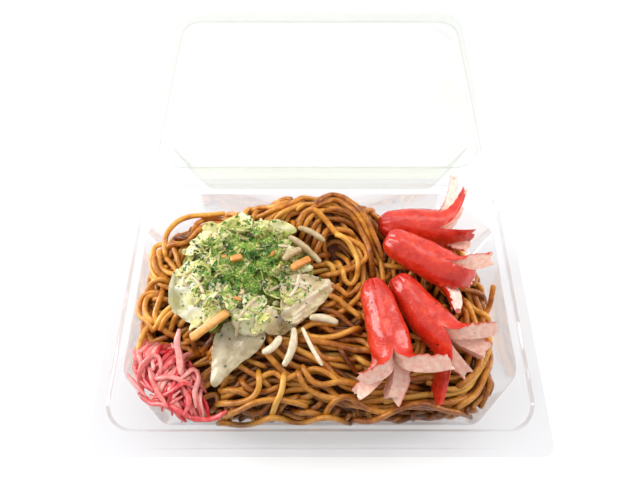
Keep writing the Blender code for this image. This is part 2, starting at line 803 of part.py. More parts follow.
def make_noodles(finish, above):
    def bottom(rim, start):
        sides = len(rim)
        below = []
        for height, lean in ((12.0, 2.0), (HEAP_FLOOR, 4.5)):
            for point in rim:
                offset = Vector((point.x, point.y)) - HEAP_CENTRE
                angle = math.atan2(offset.y, offset.x)
                far = min(offset.length - lean, tub_reach(HEAP_CENTRE, angle, height, HEAP_CLEAR))
                spot = HEAP_CENTRE + offset.normalized() * far
                below.append(Vector((spot.x, spot.y, height)))
        faces = bridge(0, start, sides) + bridge(start, start + sides, sides)
        faces.append(tuple(range(start + sides, start + 2 * sides)))
        return below, faces

    shares = (1.0, 0.985, 0.95, 0.9, 0.84, 0.77, 0.7, 0.62, 0.54, 0.45, 0.36, 0.27, 0.18, 0.09)
    return heap(
        "noodles", finish, HEAP_CENTRE, reach, noodle_top, bottom, shares, HEAP_SIDES, above, 5.5
    )


def flat_bottom(centre, height_under, pull):
    """The underside of a heap that lies on the noodles: flat, and drawn in from its edge."""

    def bottom(rim, start):
        sides = len(rim)
        height = height_under(rim)
        middle = Vector((centre.x, centre.y, 0))
        inner = [Vector((point.x, point.y, 0)).lerp(middle, pull) for point in rim]
        inner = [Vector((point.x, point.y, height)) for point in inner]
        return inner, bridge(0, start, sides) + [tuple(range(start, start + sides))]

    return bottom


def make_mound(finish, above):
    def radius_at(angle):
        low, high = 5.0, 60.0
        for _ in range(30):
            middle = (low + high) / 2
            spot = MOUND_CENTRE + Vector((math.cos(angle), math.sin(angle))) * middle
            if mound_share(spot.x, spot.y) < 1:
                low = middle
            else:
                high = middle
        return low

    bottom = flat_bottom(MOUND_CENTRE, lambda rim: min(point.z for point in rim) - 1.0, 0.15)
    shares = (1.0, 0.9, 0.75, 0.6, 0.45, 0.3, 0.15)
    return heap(
        "vegetable_heap", finish, MOUND_CENTRE, radius_at, ground, bottom, shares, 40, above, 3.5
    )


def make_ginger(finish):
    def radius_at(angle):
        along = math.cos(angle + GINGER_TURN)
        across = math.sin(angle + GINGER_TURN)
        oval = 1 / math.hypot(along / GINGER_HALF_LENGTH, across / GINGER_HALF_WIDTH)
        uneven = 1 + 0.07 * math.sin(5 * angle) + 0.05 * math.sin(8 * angle + 2)
        return min(oval * uneven, tub_reach(GINGER_CENTRE, angle, GINGER_LOW, HEAP_CLEAR))

    def top(x, y):
        offset = Vector((x, y)) - GINGER_CENTRE
        share = min(offset.length / radius_at(math.atan2(offset.y, offset.x)), 1.0)
        rise = GINGER_RISE + GINGER_LUMPS * noise.noise(Vector((x, y, 2.0)) / 5)
        return GINGER_EDGE + rise * (1 - share**2.2) ** 0.7

    bottom = flat_bottom(GINGER_CENTRE, lambda rim: GINGER_LOW, 0.2)
    shares = (1.0, 0.86, 0.68, 0.5, 0.32, 0.16)
    return heap(
        "ginger_heap", finish, GINGER_CENTRE, radius_at, top, bottom, shares, 36, [], 2.0
    )


def build():
    for thing in list(bpy.data.objects):
        bpy.data.objects.remove(thing, do_unlink=True)

    plastic = material("clear_plastic", colour(240, 242, 240), 0.08, 0.3)
    noodle = material("fried_noodle", colour(150, 88, 30), 0.4)
    skin = material("sausage_skin", colour(222, 52, 46), 0.25)
    cabbage = material("cabbage", colour(222, 220, 178), 0.35)
    greens = material("mixed_vegetables", colour(150, 168, 84), 0.5)
    orange = material("carrot", colour(238, 150, 50), 0.35)
    white = material("bean_sprout", colour(232, 226, 196), 0.3)
    pink = material("pickled_ginger", colour(240, 92, 110), 0.3)

    make_tray(plastic)
    make_lid(plastic, Vector((0, TRAY_HALF_LENGTH, HINGE_HEIGHT)))
    sausages = [sausage(name, plan, skin) for name, plan in SAUSAGES.items()]
    leaves = [leaf(name, plan, cabbage) for name, plan in LEAVES.items()]
    sticks = [carrot(name, plan, orange) for name, plan in CARROTS.items()]
    stems = [sprout(name, plan, white) for name, plan in SPROUTS.items()]
    mound = make_mound(greens, leaves + sticks + stems)
    ginger = make_ginger(pink)
    make_noodles(noodle, sausages + leaves + sticks + stems + [mound, ginger])


build()
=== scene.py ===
"""The looks of a yakisoba in a clear hinged food pack: fried noodles under cabbage, sprouts, carrot
and seaweed flakes, red ginger in one corner and four sausages cut into octopuses.

Lengths are in millimetres until a mesh is made. Strands of noodle and ginger fill the space of
their CAD solids, leaves lie on theirs, and shreds, crumbs and flakes are dropped on the leaves.
"""

import json
import math
import random

import bmesh
import bpy
import numpy as np
from mathutils import Matrix, Vector, noise
from mathutils.bvhtree import BVHTree

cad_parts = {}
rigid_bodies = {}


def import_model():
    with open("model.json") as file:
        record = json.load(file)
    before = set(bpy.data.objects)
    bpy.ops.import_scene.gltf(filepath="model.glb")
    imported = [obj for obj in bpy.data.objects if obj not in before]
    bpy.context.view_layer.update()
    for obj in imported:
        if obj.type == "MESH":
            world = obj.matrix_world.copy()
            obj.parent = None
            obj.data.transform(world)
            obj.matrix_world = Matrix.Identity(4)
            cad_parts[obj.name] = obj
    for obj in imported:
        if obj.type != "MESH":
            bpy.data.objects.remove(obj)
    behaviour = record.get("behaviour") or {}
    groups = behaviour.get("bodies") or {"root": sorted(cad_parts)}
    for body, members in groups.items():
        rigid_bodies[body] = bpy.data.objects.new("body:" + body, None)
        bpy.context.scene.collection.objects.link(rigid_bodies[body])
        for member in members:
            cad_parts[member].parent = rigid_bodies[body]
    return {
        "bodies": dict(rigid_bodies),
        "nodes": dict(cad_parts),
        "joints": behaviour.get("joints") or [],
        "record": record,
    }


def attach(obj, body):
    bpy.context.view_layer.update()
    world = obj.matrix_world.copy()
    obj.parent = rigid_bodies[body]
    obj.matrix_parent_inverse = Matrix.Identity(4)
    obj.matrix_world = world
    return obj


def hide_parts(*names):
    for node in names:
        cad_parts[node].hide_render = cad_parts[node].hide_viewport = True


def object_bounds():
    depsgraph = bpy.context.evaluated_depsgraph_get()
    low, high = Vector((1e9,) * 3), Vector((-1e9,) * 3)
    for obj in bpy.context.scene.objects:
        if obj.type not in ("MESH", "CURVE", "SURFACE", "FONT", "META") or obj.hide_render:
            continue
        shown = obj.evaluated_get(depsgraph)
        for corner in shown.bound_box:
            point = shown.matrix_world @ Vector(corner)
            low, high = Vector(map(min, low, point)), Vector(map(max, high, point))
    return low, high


MM = 0.001
TAU = 2 * math.pi
DOWN = Vector((0.0, 0.0, -1.0))
UP = Vector((0.0, 0.0, 1.0))
SKY = 90.0  # a height above everything

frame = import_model()
cad_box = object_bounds()


# ---- colours and materials ------------------------------------------------------------------
def colour(red, green, blue):
    """An sRGB colour of 0 to 255 as the linear values a shader takes."""
    channels = [value / 255 for value in (red, green, blue)]
    linear = [c / 12.92 if c <= 0.04045 else ((c + 0.055) / 1.055) ** 2.4 for c in channels]
    return (*linear, 1.0)


class Paint:
    """A material and short calls that add nodes to it."""

    def __init__(self, name, **settings):
        self.material = bpy.data.materials.new(name)
        self.material.use_nodes = True
        self.nodes = self.material.node_tree.nodes
        self.links = self.material.node_tree.links
        self.shader = self.nodes["Principled BSDF"]
        for socket, value in settings.items():
            self.shader.inputs[socket.replace("_", " ")].default_value = value
        self.place = self.nodes.new("ShaderNodeTexCoord").outputs["Object"]

    def node(self, kind, inputs=(), **settings):
        made = self.nodes.new("ShaderNode" + kind)
        for key, value in settings.items():
            setattr(made, key, value)
        for key, value in dict(inputs).items():
            if isinstance(value, bpy.types.NodeSocket):
                self.links.new(value, made.inputs[key])
            else:
                made.inputs[key].default_value = value
        return made

    def set(self, socket, value):
        self.links.new(value, self.shader.inputs[socket])

    def noise(self, size, detail=2.0, roughness=0.5, distortion=0.0):
        """Clouds whose lumps are about this many millimetres across."""
        values = {
            "Vector": self.place,
            "Scale": 1 / (size * MM),
            "Detail": detail,
            "Roughness": roughness,
            "Distortion": distortion,
        }
        return self.node("TexNoise", values).outputs["Fac"]

    def spots(self, size, randomness=1.0):
        values = {"Vector": self.place, "Scale": 1 / (size * MM), "Randomness": randomness}
        return self.node("TexVoronoi", values).outputs["Distance"]

    def attribute(self, name):
        return self.node("Attribute", attribute_name=name).outputs["Fac"]

    def ramp(self, factor, *stops):
        made = self.node("ValToRGB", {"Fac": factor})
        elements = made.color_ramp.elements
        while len(elements) < len(stops):
            elements.new(0.5)
        for element, (place, value) in zip(elements, stops):
            element.position = place
            element.color = value if isinstance(value, tuple) else (value, value, value, 1.0)
        return made.outputs["Color"]

    def mix(self, factor, first, second):
        made = self.node("Mix", data_type="RGBA")
        for number, value in ((0, factor), (6, first), (7, second)):
            if isinstance(value, bpy.types.NodeSocket):
                self.links.new(value, made.inputs[number])
            else:
                made.inputs[number].default_value = value
        return made.outputs[2]

    def soften(self, weight, *depths):
        """Lets light soak in, by so many millimetres of red, green and blue."""
        inputs = self.shader.inputs
        inputs["Subsurface Weight"].default_value = weight
        inputs["Subsurface Radius"].default_value = [depth * MM for depth in depths]
        inputs["Subsurface Scale"].default_value = 1.0

    def sum(self, first, second, operation="ADD"):
        return self.node("Math", {0: first, 1: second}, operation=operation).outputs[0]

    def between(self, value, low, high, new_low, new_high):
        values = {"Value": value, 1: low, 2: high, 3: new_low, 4: new_high}
        return self.node("MapRange", values).outputs[0]

    def relief(self, height, depth, strength=1.0):
        """Bumps this many millimetres deep where the height goes from 0 to 1."""
        values = {"Height": height, "Distance": depth * MM, "Strength": strength}
        self.set("Normal", self.node("Bump", values).outputs["Normal"])


def noodle_paint(name):
    """Fried noodles: sauce-brown and golden by strand, glossy with oil, and darker by painted shade low in
    the heap and at the front.
    """
    paint = Paint(name, Roughness=0.34, Coat_Weight=0.3, Coat_Roughness=0.08, Specular_IOR_Level=0.35)
    patches = paint.between(paint.noise(9.0, 3.0, 0.6), 0.3, 0.7, -0.3, 0.26)
    fine = paint.between(paint.noise(1.6, 2.0), 0.3, 0.7, -0.12, 0.12)
    base = paint.ramp(
        paint.sum(paint.sum(paint.attribute("tone"), patches), fine),
        (0.0, colour(104, 48, 10)),
        (0.35, colour(178, 102, 26)),
        (0.65, colour(220, 146, 50)),
        (1.0, colour(242, 184, 84)),
    )
    # painted shade: strands are mixed towards dark brown by how deep they lie in the heap and how near the
    # front they are
    dark = paint.between(paint.attribute("depth"), 0.0, 1.0, 0.0, 0.9)
    paint.set("Base Color", paint.mix(dark, base, colour(66, 24, 6)))
    paint.relief(paint.noise(1.1, 3.0, 0.6), 0.22, 0.8)
    return paint.material


def mottled_paint(name, roughness, clouds, bumps, depth, *stops):
    """The inside of a heap, seen between what lies on it: clouds of a few colours, and rough."""
    paint = Paint(name, Roughness=roughness)
    paint.set("Base Color", paint.ramp(paint.noise(*clouds), *stops))
    paint.relief(paint.noise(*bumps), depth)
    return paint.material


def sausage_paint():
    """Red-dyed skin, wet and slightly pitted, with painted shade in the head's creases, and pale pink meat
    where it is cut.
    """
    paint = Paint("sausage_skin_and_meat", Coat_Weight=0.6, Coat_Roughness=0.07, Specular_IOR_Level=0.45)
    paint.soften(0.12, 3.0, 1.0, 0.7)
    shades = ((0.3, colour(196, 30, 14)), (0.55, colour(218, 52, 28)), (0.8, colour(236, 84, 48)))
    red = paint.ramp(paint.noise(5.0, 3.0, 0.6), *shades)
    pits = paint.ramp(paint.spots(4.5), (0.0, 1.0), (0.09, 1.0), (0.16, 0.0))
    pits = paint.sum(pits, paint.ramp(paint.noise(7.0, 1.0), (0.55, 0.0), (0.62, 1.0)), "MULTIPLY")
    red = paint.mix(pits, red, colour(150, 34, 22))
    # painted shade: the head's creases are darkened towards deep red
    red = paint.mix(paint.attribute("pucker"), red, colour(196, 16, 20))
    shades = ((0.3, colour(236, 168, 148)), (0.7, colour(252, 214, 194)))
    meat = paint.ramp(paint.noise(2.2, 3.0, 0.6), *shades)
    pale = paint.attribute("pale")
    paint.set("Base Color", paint.mix(pale, red, meat))
    paint.set("Roughness", paint.between(pale, 0.0, 1.0, 0.24, 0.42))
    height = paint.sum(paint.noise(1.8, 3.0, 0.6, 0.8), paint.between(pits, 0.0, 1.0, 0.0, -1.6))
    paint.relief(height, 0.42, 0.85)
    return paint.material


def leaf_paint(name, low, high, vein):
    """Boiled cabbage: thin, wet and see-through, paler where it is thick."""
    paint = Paint(name, Roughness=0.3, Coat_Weight=0.4, Coat_Roughness=0.12)
    paint.soften(0.25, 2.0, 2.0, 1.0)
    base = paint.ramp(paint.noise(8.0, 3.0, 0.55, 0.6), (0.34, low), (0.62, high))
    fine = paint.between(paint.noise(2.2, 2.0), 0.35, 0.7, 0.0, 0.35)
    base = paint.mix(fine, base, vein)
    paint.set("Base Color", paint.mix(paint.attribute("rib"), base, vein))
    paint.relief(paint.noise(1.8, 2.0), 0.2, 0.6)
    return paint.material


def strip_paint(name, dark, light, roughness=0.3):
    """Shredded roots and sprouts: wet and fine-grained, each strip its own shade."""
    paint = Paint(name, Roughness=roughness, Coat_Weight=0.4, Coat_Roughness=0.12)
    paint.soften(0.15, 2.0, 1.0, 1.0)
    level = paint.sum(paint.attribute("tone"), paint.between(paint.noise(2.5, 3.0), 0.3, 0.7, -0.2, 0.2))
    paint.set("Base Color", paint.ramp(level, (0.1, dark), (0.9, light)))
    paint.relief(paint.noise(0.7, 3.0), 0.12, 0.6)
    return paint.material


def flake_paint():
    """Dried seaweed crushed to flakes, from bright to blackish green."""
    paint = Paint("seaweed_flakes", Roughness=0.55)
    base = paint.ramp(
        paint.sum(paint.attribute("tone"), paint.between(paint.noise(0.8), 0.3, 0.7, -0.1, 0.1)),
        (0.0, colour(34, 70, 18)),
        (0.35, colour(70, 118, 30)),
        (0.7, colour(118, 160, 48)),
        (1.0, colour(172, 198, 92)),
    )
    paint.set("Base Color", base)
    return paint.material


def crumb_paint():
    paint = Paint("fried_crumbs", Roughness=0.5)
    base = paint.ramp(paint.attribute("tone"), (0.0, colour(140, 96, 40)), (1.0, colour(214, 170, 96)))
    paint.set("Base Color", base)
    paint.relief(paint.noise(0.6), 0.2)
    return paint.material


def plastic_paint(name, clear_colour, slant_colour, edge_colour):
    """Thin clear plastic, greyer and more of a mirror at a slant. Lamps shine through it."""
    paint = Paint(name)
    paint.nodes.remove(paint.shader)
    facing = paint.node("LayerWeight", {"Blend": 0.5}).outputs["Facing"]
    edge = paint.ramp(
        facing,
        (0.0, clear_colour),
        (0.85, clear_colour),
        (0.95, slant_colour),
        (1.0, edge_colour),
    )
    clear = paint.node("BsdfTransparent", {"Color": edge})
    mirror = paint.node("BsdfGlossy", {"Color": colour(255, 255, 255), "Roughness": 0.06})
    fresnel = paint.node("Fresnel", {"IOR": 1.35}).outputs["Fac"]
    waviness = paint.node("Bump", {"Height": paint.noise(28.0, 1.0), "Distance": 0.4 * MM, "Strength": 0.5})
    paint.links.new(waviness.outputs["Normal"], mirror.inputs["Normal"])
    share = paint.sum(fresnel, 0.45, "MULTIPLY")
    film = paint.node("MixShader", {0: share, 1: clear.outputs[0], 2: mirror.outputs[0]})
    light = paint.node("LightPath").outputs
    unseen = paint.sum(light["Is Shadow Ray"], light["Is Diffuse Ray"], "MAXIMUM")
    through = paint.node("BsdfTransparent", {"Color": colour(254, 254, 254)})
    film = paint.node("MixShader", {0: unseen, 1: film.outputs[0], 2: through.outputs[0]})
    paint.links.new(film.outputs[0], paint.nodes["Material Output"].inputs["Surface"])
    return paint.material


# ---- meshes ---------------------------------------------------------------------------------
def piece(name, points, faces, finish, slot, body="pack", replaced=(), sharp=None, **values):
    """A mesh in the frame, from points in millimetres, with a number at each point for its paint."""
    mesh = bpy.data.meshes.new(name)
    mesh.from_pydata((np.asarray(points, float) * MM).tolist(), [], faces)
    mesh.validate()
    mesh.shade_smooth()
    if sharp is not None:
        mesh.set_sharp_from_angle(angle=math.radians(sharp))
    mesh.materials.append(finish)
    for key, numbers in values.items():
        layer = mesh.attributes.new(key, "FLOAT", "POINT")
        layer.data.foreach_set("value", np.asarray(numbers, np.float32))
    made = bpy.data.objects.new(name, mesh)
    bpy.context.scene.collection.objects.link(made)
    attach(made, body)
    if replaced:
        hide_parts(*replaced)
    return made


def bridge(first, second, count):
    """Quads between two closed rings of points that start at these indices."""
    faces = []
    for i in range(count):
        j = (i + 1) % count
        faces.append((first + i, first + j, second + j, second + i))
    return faces


def stack(start, rings, count):
    """Quads between closed rings of points that follow one another from an index."""
    faces = []
    for ring in range(start, start + (rings - 1) * count, count):
        faces.extend(bridge(ring, ring + count, count))
    return faces


def fan(tip, start, count):
    """Triangles between a point and the ring of points that starts at an index."""
    return [(tip, start + (i + 1) % count, start + i) for i in range(count)]


def turned(faces):
    """The faces seen from their other side."""
    return [face[::-1] for face in faces]


def frames_along(path):
    """A frame that slides along a path without twisting: ahead, side and up at each point."""
    points = [Vector(point) for point in path]
    ends = zip([points[0], *points], [*points[1:], points[-1]])
    frames = []
    up = UP
    for before, after in ends:
        tangent = (after - before).normalized()
        flat = up - tangent * up.dot(tangent)
        if flat.length < 1e-3:
            flat = tangent.orthogonal()
        up = flat.normalized()
        frames.append((tangent, tangent.cross(up), up))
    return frames


class Strands:
    """Many closed tubes gathered into one mesh."""

    def __init__(self):
        self.points = []
        self.faces = []
        # tone is each strand's own colour; depth is how much painted shade it gets
        self.values = {"tone": [], "depth": []}

    def add(self, path, radii, sides, tone, depths=None, square=0.0, stretch=1.0):
        """A tube along a path. Square is from 0, round, to 1, with flat sides and soft corners."""
        frames = frames_along(path)
        start = len(self.points)
        section = []
        for step in range(sides):
            angle = TAU * (step + 0.5) / sides
            widest = max(abs(math.cos(angle)), abs(math.sin(angle)))
            size = 1 + square * (1 / widest - 1)
            section.append((size * math.cos(angle) * stretch, size * math.sin(angle)))
        for place, (_, side, up), radius in zip(path, frames, radii):
            place = Vector(place)
            self.points.extend(place + (side * a + up * b) * radius for a, b in section)
        rings = len(path)
        self.faces.extend(stack(start, rings, sides))
        first = len(self.points)
        self.points.append(Vector(path[0]) - frames[0][0] * radii[0] * 0.5)
        self.points.append(Vector(path[-1]) + frames[-1][0] * radii[-1] * 0.5)
        self.faces.extend(fan(first, start, sides))
        self.faces.extend(turned(fan(first + 1, first - sides, sides)))
        self.values["tone"].extend([tone] * (rings * sides + 2))
        depths = [0.0] * rings if depths is None else depths
        self.values["depth"].extend(np.repeat(depths, sides).tolist())
        self.values["depth"].extend([depths[0], depths[-1]])

    def make(self, name, finish, slot, replaced=()):
        return piece(name, self.points, self.faces, finish, slot, replaced=replaced, **self.values)


def spline(a, b, c, d, t):
    """A place between the middle two of four points, on a smooth curve through them all."""
    bow = (a * 2 - b * 5 + c * 4 - d) * t**2 + (b * 3 - a - c * 3 + d) * t**3
    return 0.5 * (b * 2 + (c - a) * t + bow)


def smooth_line(points, step):
    """A smooth curve through the given points, with a point every step or so."""
    points = [Vector(point) for point in points]
    padded = [points[0] * 2 - points[1], *points, points[-1] * 2 - points[-2]]
    made = []
    for four in zip(padded, padded[1:], padded[2:], padded[3:]):
        count = max(int((four[2] - four[1]).length / step), 1)
        made.extend(spline(*four, index / count) for index in range(count))
    return [*made, points[-1]]


def mesh_of(thing):
    """The mesh of a CAD node, given by name, or of a piece made here."""
    return (frame["nodes"][thing] if isinstance(thing, str) else thing).data


def points_of(thing):
    mesh = mesh_of(thing)
    flat = np.empty(len(mesh.vertices) * 3)
    mesh.vertices.foreach_get("co", flat)
    return flat.reshape(-1, 3) / MM


def tree_of(*things):
    """A search tree over the surfaces of CAD nodes or pieces, in millimetres."""
    points = []
    faces = []
    for thing in things:
        start = len(points)
        points.extend(points_of(thing).tolist())
        faces.extend([start + i for i in face.vertices] for face in mesh_of(thing).polygons)
    return BVHTree.FromPolygons(points, faces)


def top_of(tree, x, y):
    """The height and slope of what a thing dropped at a place would land on, or None."""
    place, normal, _, _ = tree.ray_cast(Vector((x, y, SKY)), DOWN)
    return None if place is None else (place.z, normal)


def unit(value, low=0.0):
    """A value held between low and 1."""
    return min(max(value, low), 1.0)


def eased(value):
    """From 0 to 1 without a sudden start or stop."""
    value = unit(value)
    return value * value * (3 - 2 * value)


# ---- the pack -------------------------------------------------------------------------------
SHEET = 0.4  # thickness of the plastic
BEND = 1.3  # how far the rounding of a bend reaches from its crease
CORNER_STEPS = 16
SIDE_PLACES = (0.03, 0.06, 0.09, 0.2, 0.35, 0.5, 0.65, 0.8, 0.91, 0.94, 0.97)
FLANGE_TOP = 32.0
HINGE = Vector((0.0, 70.0, 32.2))
LID_SEAT = 0.2  # from the hinge axis up to the underside of the shut lid's flange
GROOVE = 1.2  # depth of the channel in the tray's front flange

LEDGE = 28.1  # height of the step that the lid's bead sits on

# Each ring has its half width, front, back, height, and the shapes of its front and back corners:
# a radius, or how far a corner is cut off.
TRAY_RINGS = (
    (100.0, -70.0, 70.0, FLANGE_TOP, ("round", 5.0), ("round", 22.0)),
    (95.0, -59.3, 67.0, FLANGE_TOP, ("round", 13.0), ("round", 18.0)),
    (94.3, -58.6, 66.3, LEDGE, ("round", 12.3), ("round", 17.3)),
    (91.0, -56.4, 63.0, LEDGE, ("cut", 22.0), ("cut", 22.0)),
    (86.5, -51.9, 58.5, 2.2, ("cut", 19.3), ("cut", 19.3)),
    (84.7, -50.1, 56.7, SHEET, ("cut", 18.2), ("cut", 18.2)),
    (60.0, -30.0, 36.0, SHEET, ("cut", 12.0), ("cut", 12.0)),
)
LID_RINGS = (
    (95.0, -140.0, -0.4, 0.0, ("round", 12.0), ("round", 17.0)),
    (91.2, -128.4, -3.9, 0.0, ("round", 13.0), ("round", 15.0)),
    (90.8, -128.0, -4.3, -3.0, ("round", 12.6), ("round", 14.6)),
    (88.8, -126.9, -6.6, -3.0, ("round", 13.5), ("round", 14.0)),
    (88.3, -126.4, -7.2, 0.0, ("round", 13.5), ("round", 14.0)),
    (87.3, -125.6, -9.0, 0.0, ("cut", 17.0), ("cut", 17.0)),
    (79.7, -119.7, -10.5, 24.5, ("cut", 14.0), ("cut", 14.0)),
    (78.5, -118.5, -11.7, 25.7, ("cut", 14.0), ("cut", 14.0)),
    (56.0, -96.0, -34.0, 25.7, ("cut", 9.0), ("cut", 9.0)),
)
DOME = (-118.5, 25.7)  # the flat top's far edge and height when the lid is shut
TABLE_GAP = 0.15  # between the open lid's top and the table


def quarter(place, come, go, shape):
    """The points round one corner of a ring, which comes in one direction and goes in another."""
    kind, size = shape
    points = []
    if kind == "round":
        centre = place - come * size + go * size
        for step in range(CORNER_STEPS + 1):
            angle = math.pi / 2 * step / CORNER_STEPS
            points.append(centre - go * size * math.cos(angle) + come * size * math.sin(angle))
        return points
    slope = (come + go).normalized()
    soft = size * 0.2
    half = CORNER_STEPS // 2
    for crease, before, after in ((place - come * size, come, slope), (place + go * size, slope, go)):
        for step in range(half):
            t = step / (half - 1)
            points.append(crease - before * soft * (1 - t) ** 2 + after * soft * t**2)
    points.insert(half, place + (go - come) * size / 2)
    return points


def sheet_ring(half_width, front, back, height, front_corner, back_corner, groove=0.0):
    """A closed ring seen from above, counterclockwise from the front left corner."""
    right, away = Vector((1.0, 0.0)), Vector((0.0, 1.0))
    corners = (
        quarter(Vector((-half_width, front)), -away, right, front_corner),
        quarter(Vector((half_width, front)), right, away, front_corner),
        quarter(Vector((half_width, back)), away, -right, back_corner),
        quarter(Vector((-half_width, back)), -right, -away, back_corner),
    )
    ring = []
    for number, points in enumerate(corners):
        ring.extend(Vector((*point, height)) for point in points)
        following = corners[(number + 1) % 4][0]
        for share in SIDE_PLACES:
            spot = points[-1].lerp(following, share)
            sunk = groove * eased(min(share, 1 - share) / 0.09) if number == 0 else 0.0
            ring.append(Vector((*spot, height - sunk)))
    return ring


def bent(rings):
    """The rings with a soft bend in place of each crease."""
    made = [rings[0]]
    for before, here, after in zip(rings, rings[1:], rings[2:]):
        for t in (0.0, 0.25, 0.5, 0.75, 1.0):
            ring = []
            for a, b, c in zip(before, here, after):
                come = (a - b) * min(BEND / max((a - b).length, 1e-6), 0.48)
                go = (c - b) * min(BEND / max((c - b).length, 1e-6), 0.48)
                ring.append(b + come * (1 - t) ** 2 + go * t**2)
            made.append(ring)
    made.append(rings[-1])
    return made


def make_sheet(name, rings, thickness, finish, body, node):
    """A closed sheet through the rings, which thickens to one side of them."""
    count = len(rings[0])
    points = [point for ring in rings for point in ring]
    faces = stack(0, len(rings), count)
    start = len(points)
    faces.append(tuple(range(start - count, start)))
    shape = bmesh.new()
    vertices = [shape.verts.new(point) for point in points]
    for face in faces:
        shape.faces.new([vertices[i] for i in face])
    shape.normal_update()
    normals = [vertex.normal.copy() for vertex in shape.verts]
    shape.free()
    other = [point + normal * thickness for point, normal in zip(points, normals)]
    back = [tuple(start + i for i in face) for face in faces]
    rim = bridge(0, start, count)
    if thickness < 0:
        faces = faces + turned(back) + turned(rim)
    else:
        faces = turned(faces) + back + rim
    return piece(name, points + other, faces, finish, "clear_plastic", body, replaced=(node,), sharp=60)


def open_angle():
    """How far the lid turns back from shut until its top rests on the table."""
    low, high = TAU / 2, TAU * 0.55
    far_edge, height = DOME
    depth = height + LID_SEAT + SHEET
    for _ in range(40):
        middle = (low + high) / 2
        lowest = HINGE.z - far_edge * math.sin(middle) + depth * math.cos(middle)
        if lowest > TABLE_GAP:
            low = middle
        else:
            high = middle
    return low


def make_pack():
    tray = [sheet_ring(*ring) for ring in TRAY_RINGS]
    outer, rim = tray[:2]
    flange = []
    for share, depth in ((0.28, 0.0), (0.38, GROOVE), (0.56, GROOVE), (0.66, 0.0)):
        flat = sheet_ring(*TRAY_RINGS[0], groove=depth)
        inner = sheet_ring(*TRAY_RINGS[1], groove=depth)
        flange.append([a.lerp(b, share) for a, b in zip(flat, inner)])
    tints = (colour(248, 248, 249), colour(226, 229, 231), colour(140, 146, 150))
    film = plastic_paint("clear_tray_film", *tints)
    make_sheet("clear_tray", bent([outer, *flange, rim, *tray[2:]]), -SHEET, film, "pack", "tray")
    back = Matrix.Rotation(-open_angle(), 3, "X")
    lift = Vector((0.0, 0.0, LID_SEAT))
    lid = [[HINGE + back @ (point + lift) for point in sheet_ring(*ring)] for ring in LID_RINGS]
    tints = (colour(251, 252, 250), colour(243, 245, 243), colour(164, 170, 168))
    film = plastic_paint("clear_lid_film", *tints)
    make_sheet("clear_lid", bent(lid), SHEET, film, "lid", "lid")


# ---- the bed that strands are laid on -------------------------------------------------------
NOODLE = 1.38  # radius of a noodle
STEP = 1.55  # between points along a noodle
FINE_CELL = 0.8  # the side of a grid cell under the noodles that show
WAVE_LENGTHS = ((26, 48), (12, 22))  # of the two waves in which a strand wanders
TURN_BACK = 0.9  # how far out in its heap a strand begins to turn back


class Bed:
    """Heights over a grid of two coordinates. Strands rest on it and raise it, one after another."""

    def __init__(self, low, high, cell, target, depth):
        self.low = low
        self.cell = cell
        self.shape = tuple(int((b - a) / cell) + 1 for a, b in zip(low, high))
        self.target = np.empty(self.shape)
        for i, j in np.ndindex(*self.shape):
            self.target[i, j] = target(low[0] + i * cell, low[1] + j * cell)
        self.height = self.target - depth
        self.ceiling = np.full(self.shape, 1e3)
        self.brushes = {}

    def cells(self, spots):
        index = np.rint((spots - np.array(self.low)) / self.cell).astype(int)
        return np.clip(index, 0, np.array(self.shape) - 1)

    def brush(self, radius):
        """The cells a strand covers at a point, and how high its round back is over each."""
        if radius not in self.brushes:
            reach = int(radius / self.cell) + 1
            span = range(-reach, reach + 1)
            offsets = [(i, j) for i in span for j in span if math.hypot(i, j) * self.cell < radius]
            lifts = [math.sqrt(radius**2 - (math.hypot(i, j) * self.cell) ** 2) for i, j in offsets]
            self.brushes[radius] = (np.array(offsets), np.array(lifts))
        return self.brushes[radius]

    def covered(self, spots, radius):
        offsets, lifts = self.brush(radius)
        index = self.cells(spots)[:, None, :] + offsets[None]
        index = np.clip(index, 0, np.array(self.shape) - 1)
        return index[..., 0], index[..., 1], lifts

    def rest(self, spots, radius, soft=0.8, stiff=14):
        """The heights of a strand's centre line as it lies along these spots."""
        rows, columns, lifts = self.covered(spots, radius)
        low = (self.height[rows, columns] + lifts * soft).max(axis=1)
        line = low.copy()
        for _ in range(stiff):
            middle = (line[:-2] + line[2:]) / 2
            line[1:-1] = np.maximum(low[1:-1], line[1:-1] * 0.4 + middle * 0.6)
        smooth = np.convolve(np.pad(line, 2, mode="edge"), np.array([1, 2, 3, 2, 1]) / 9, mode="valid")
        roof = self.ceiling[tuple(self.cells(spots).T)] - radius - 0.15
        return np.minimum(smooth, roof)

    def press(self, spots, heights, radius):
        rows, columns, lifts = self.covered(spots, radius)
        np.maximum.at(self.height, (rows, columns), heights[:, None] + lifts)

    def lack(self, spots, tops):
        """How far below its target height the bed would still be."""
        return self.target[tuple(self.cells(spots).T)] - tops


def bed_over(name, margin, cell, target, depth):
    """A bed over a CAD node, this much wider than it all round."""
    flat = points_of(name)[:, :2]
    return Bed(flat.min(axis=0) - margin, flat.max(axis=0) + margin, cell, target, depth)


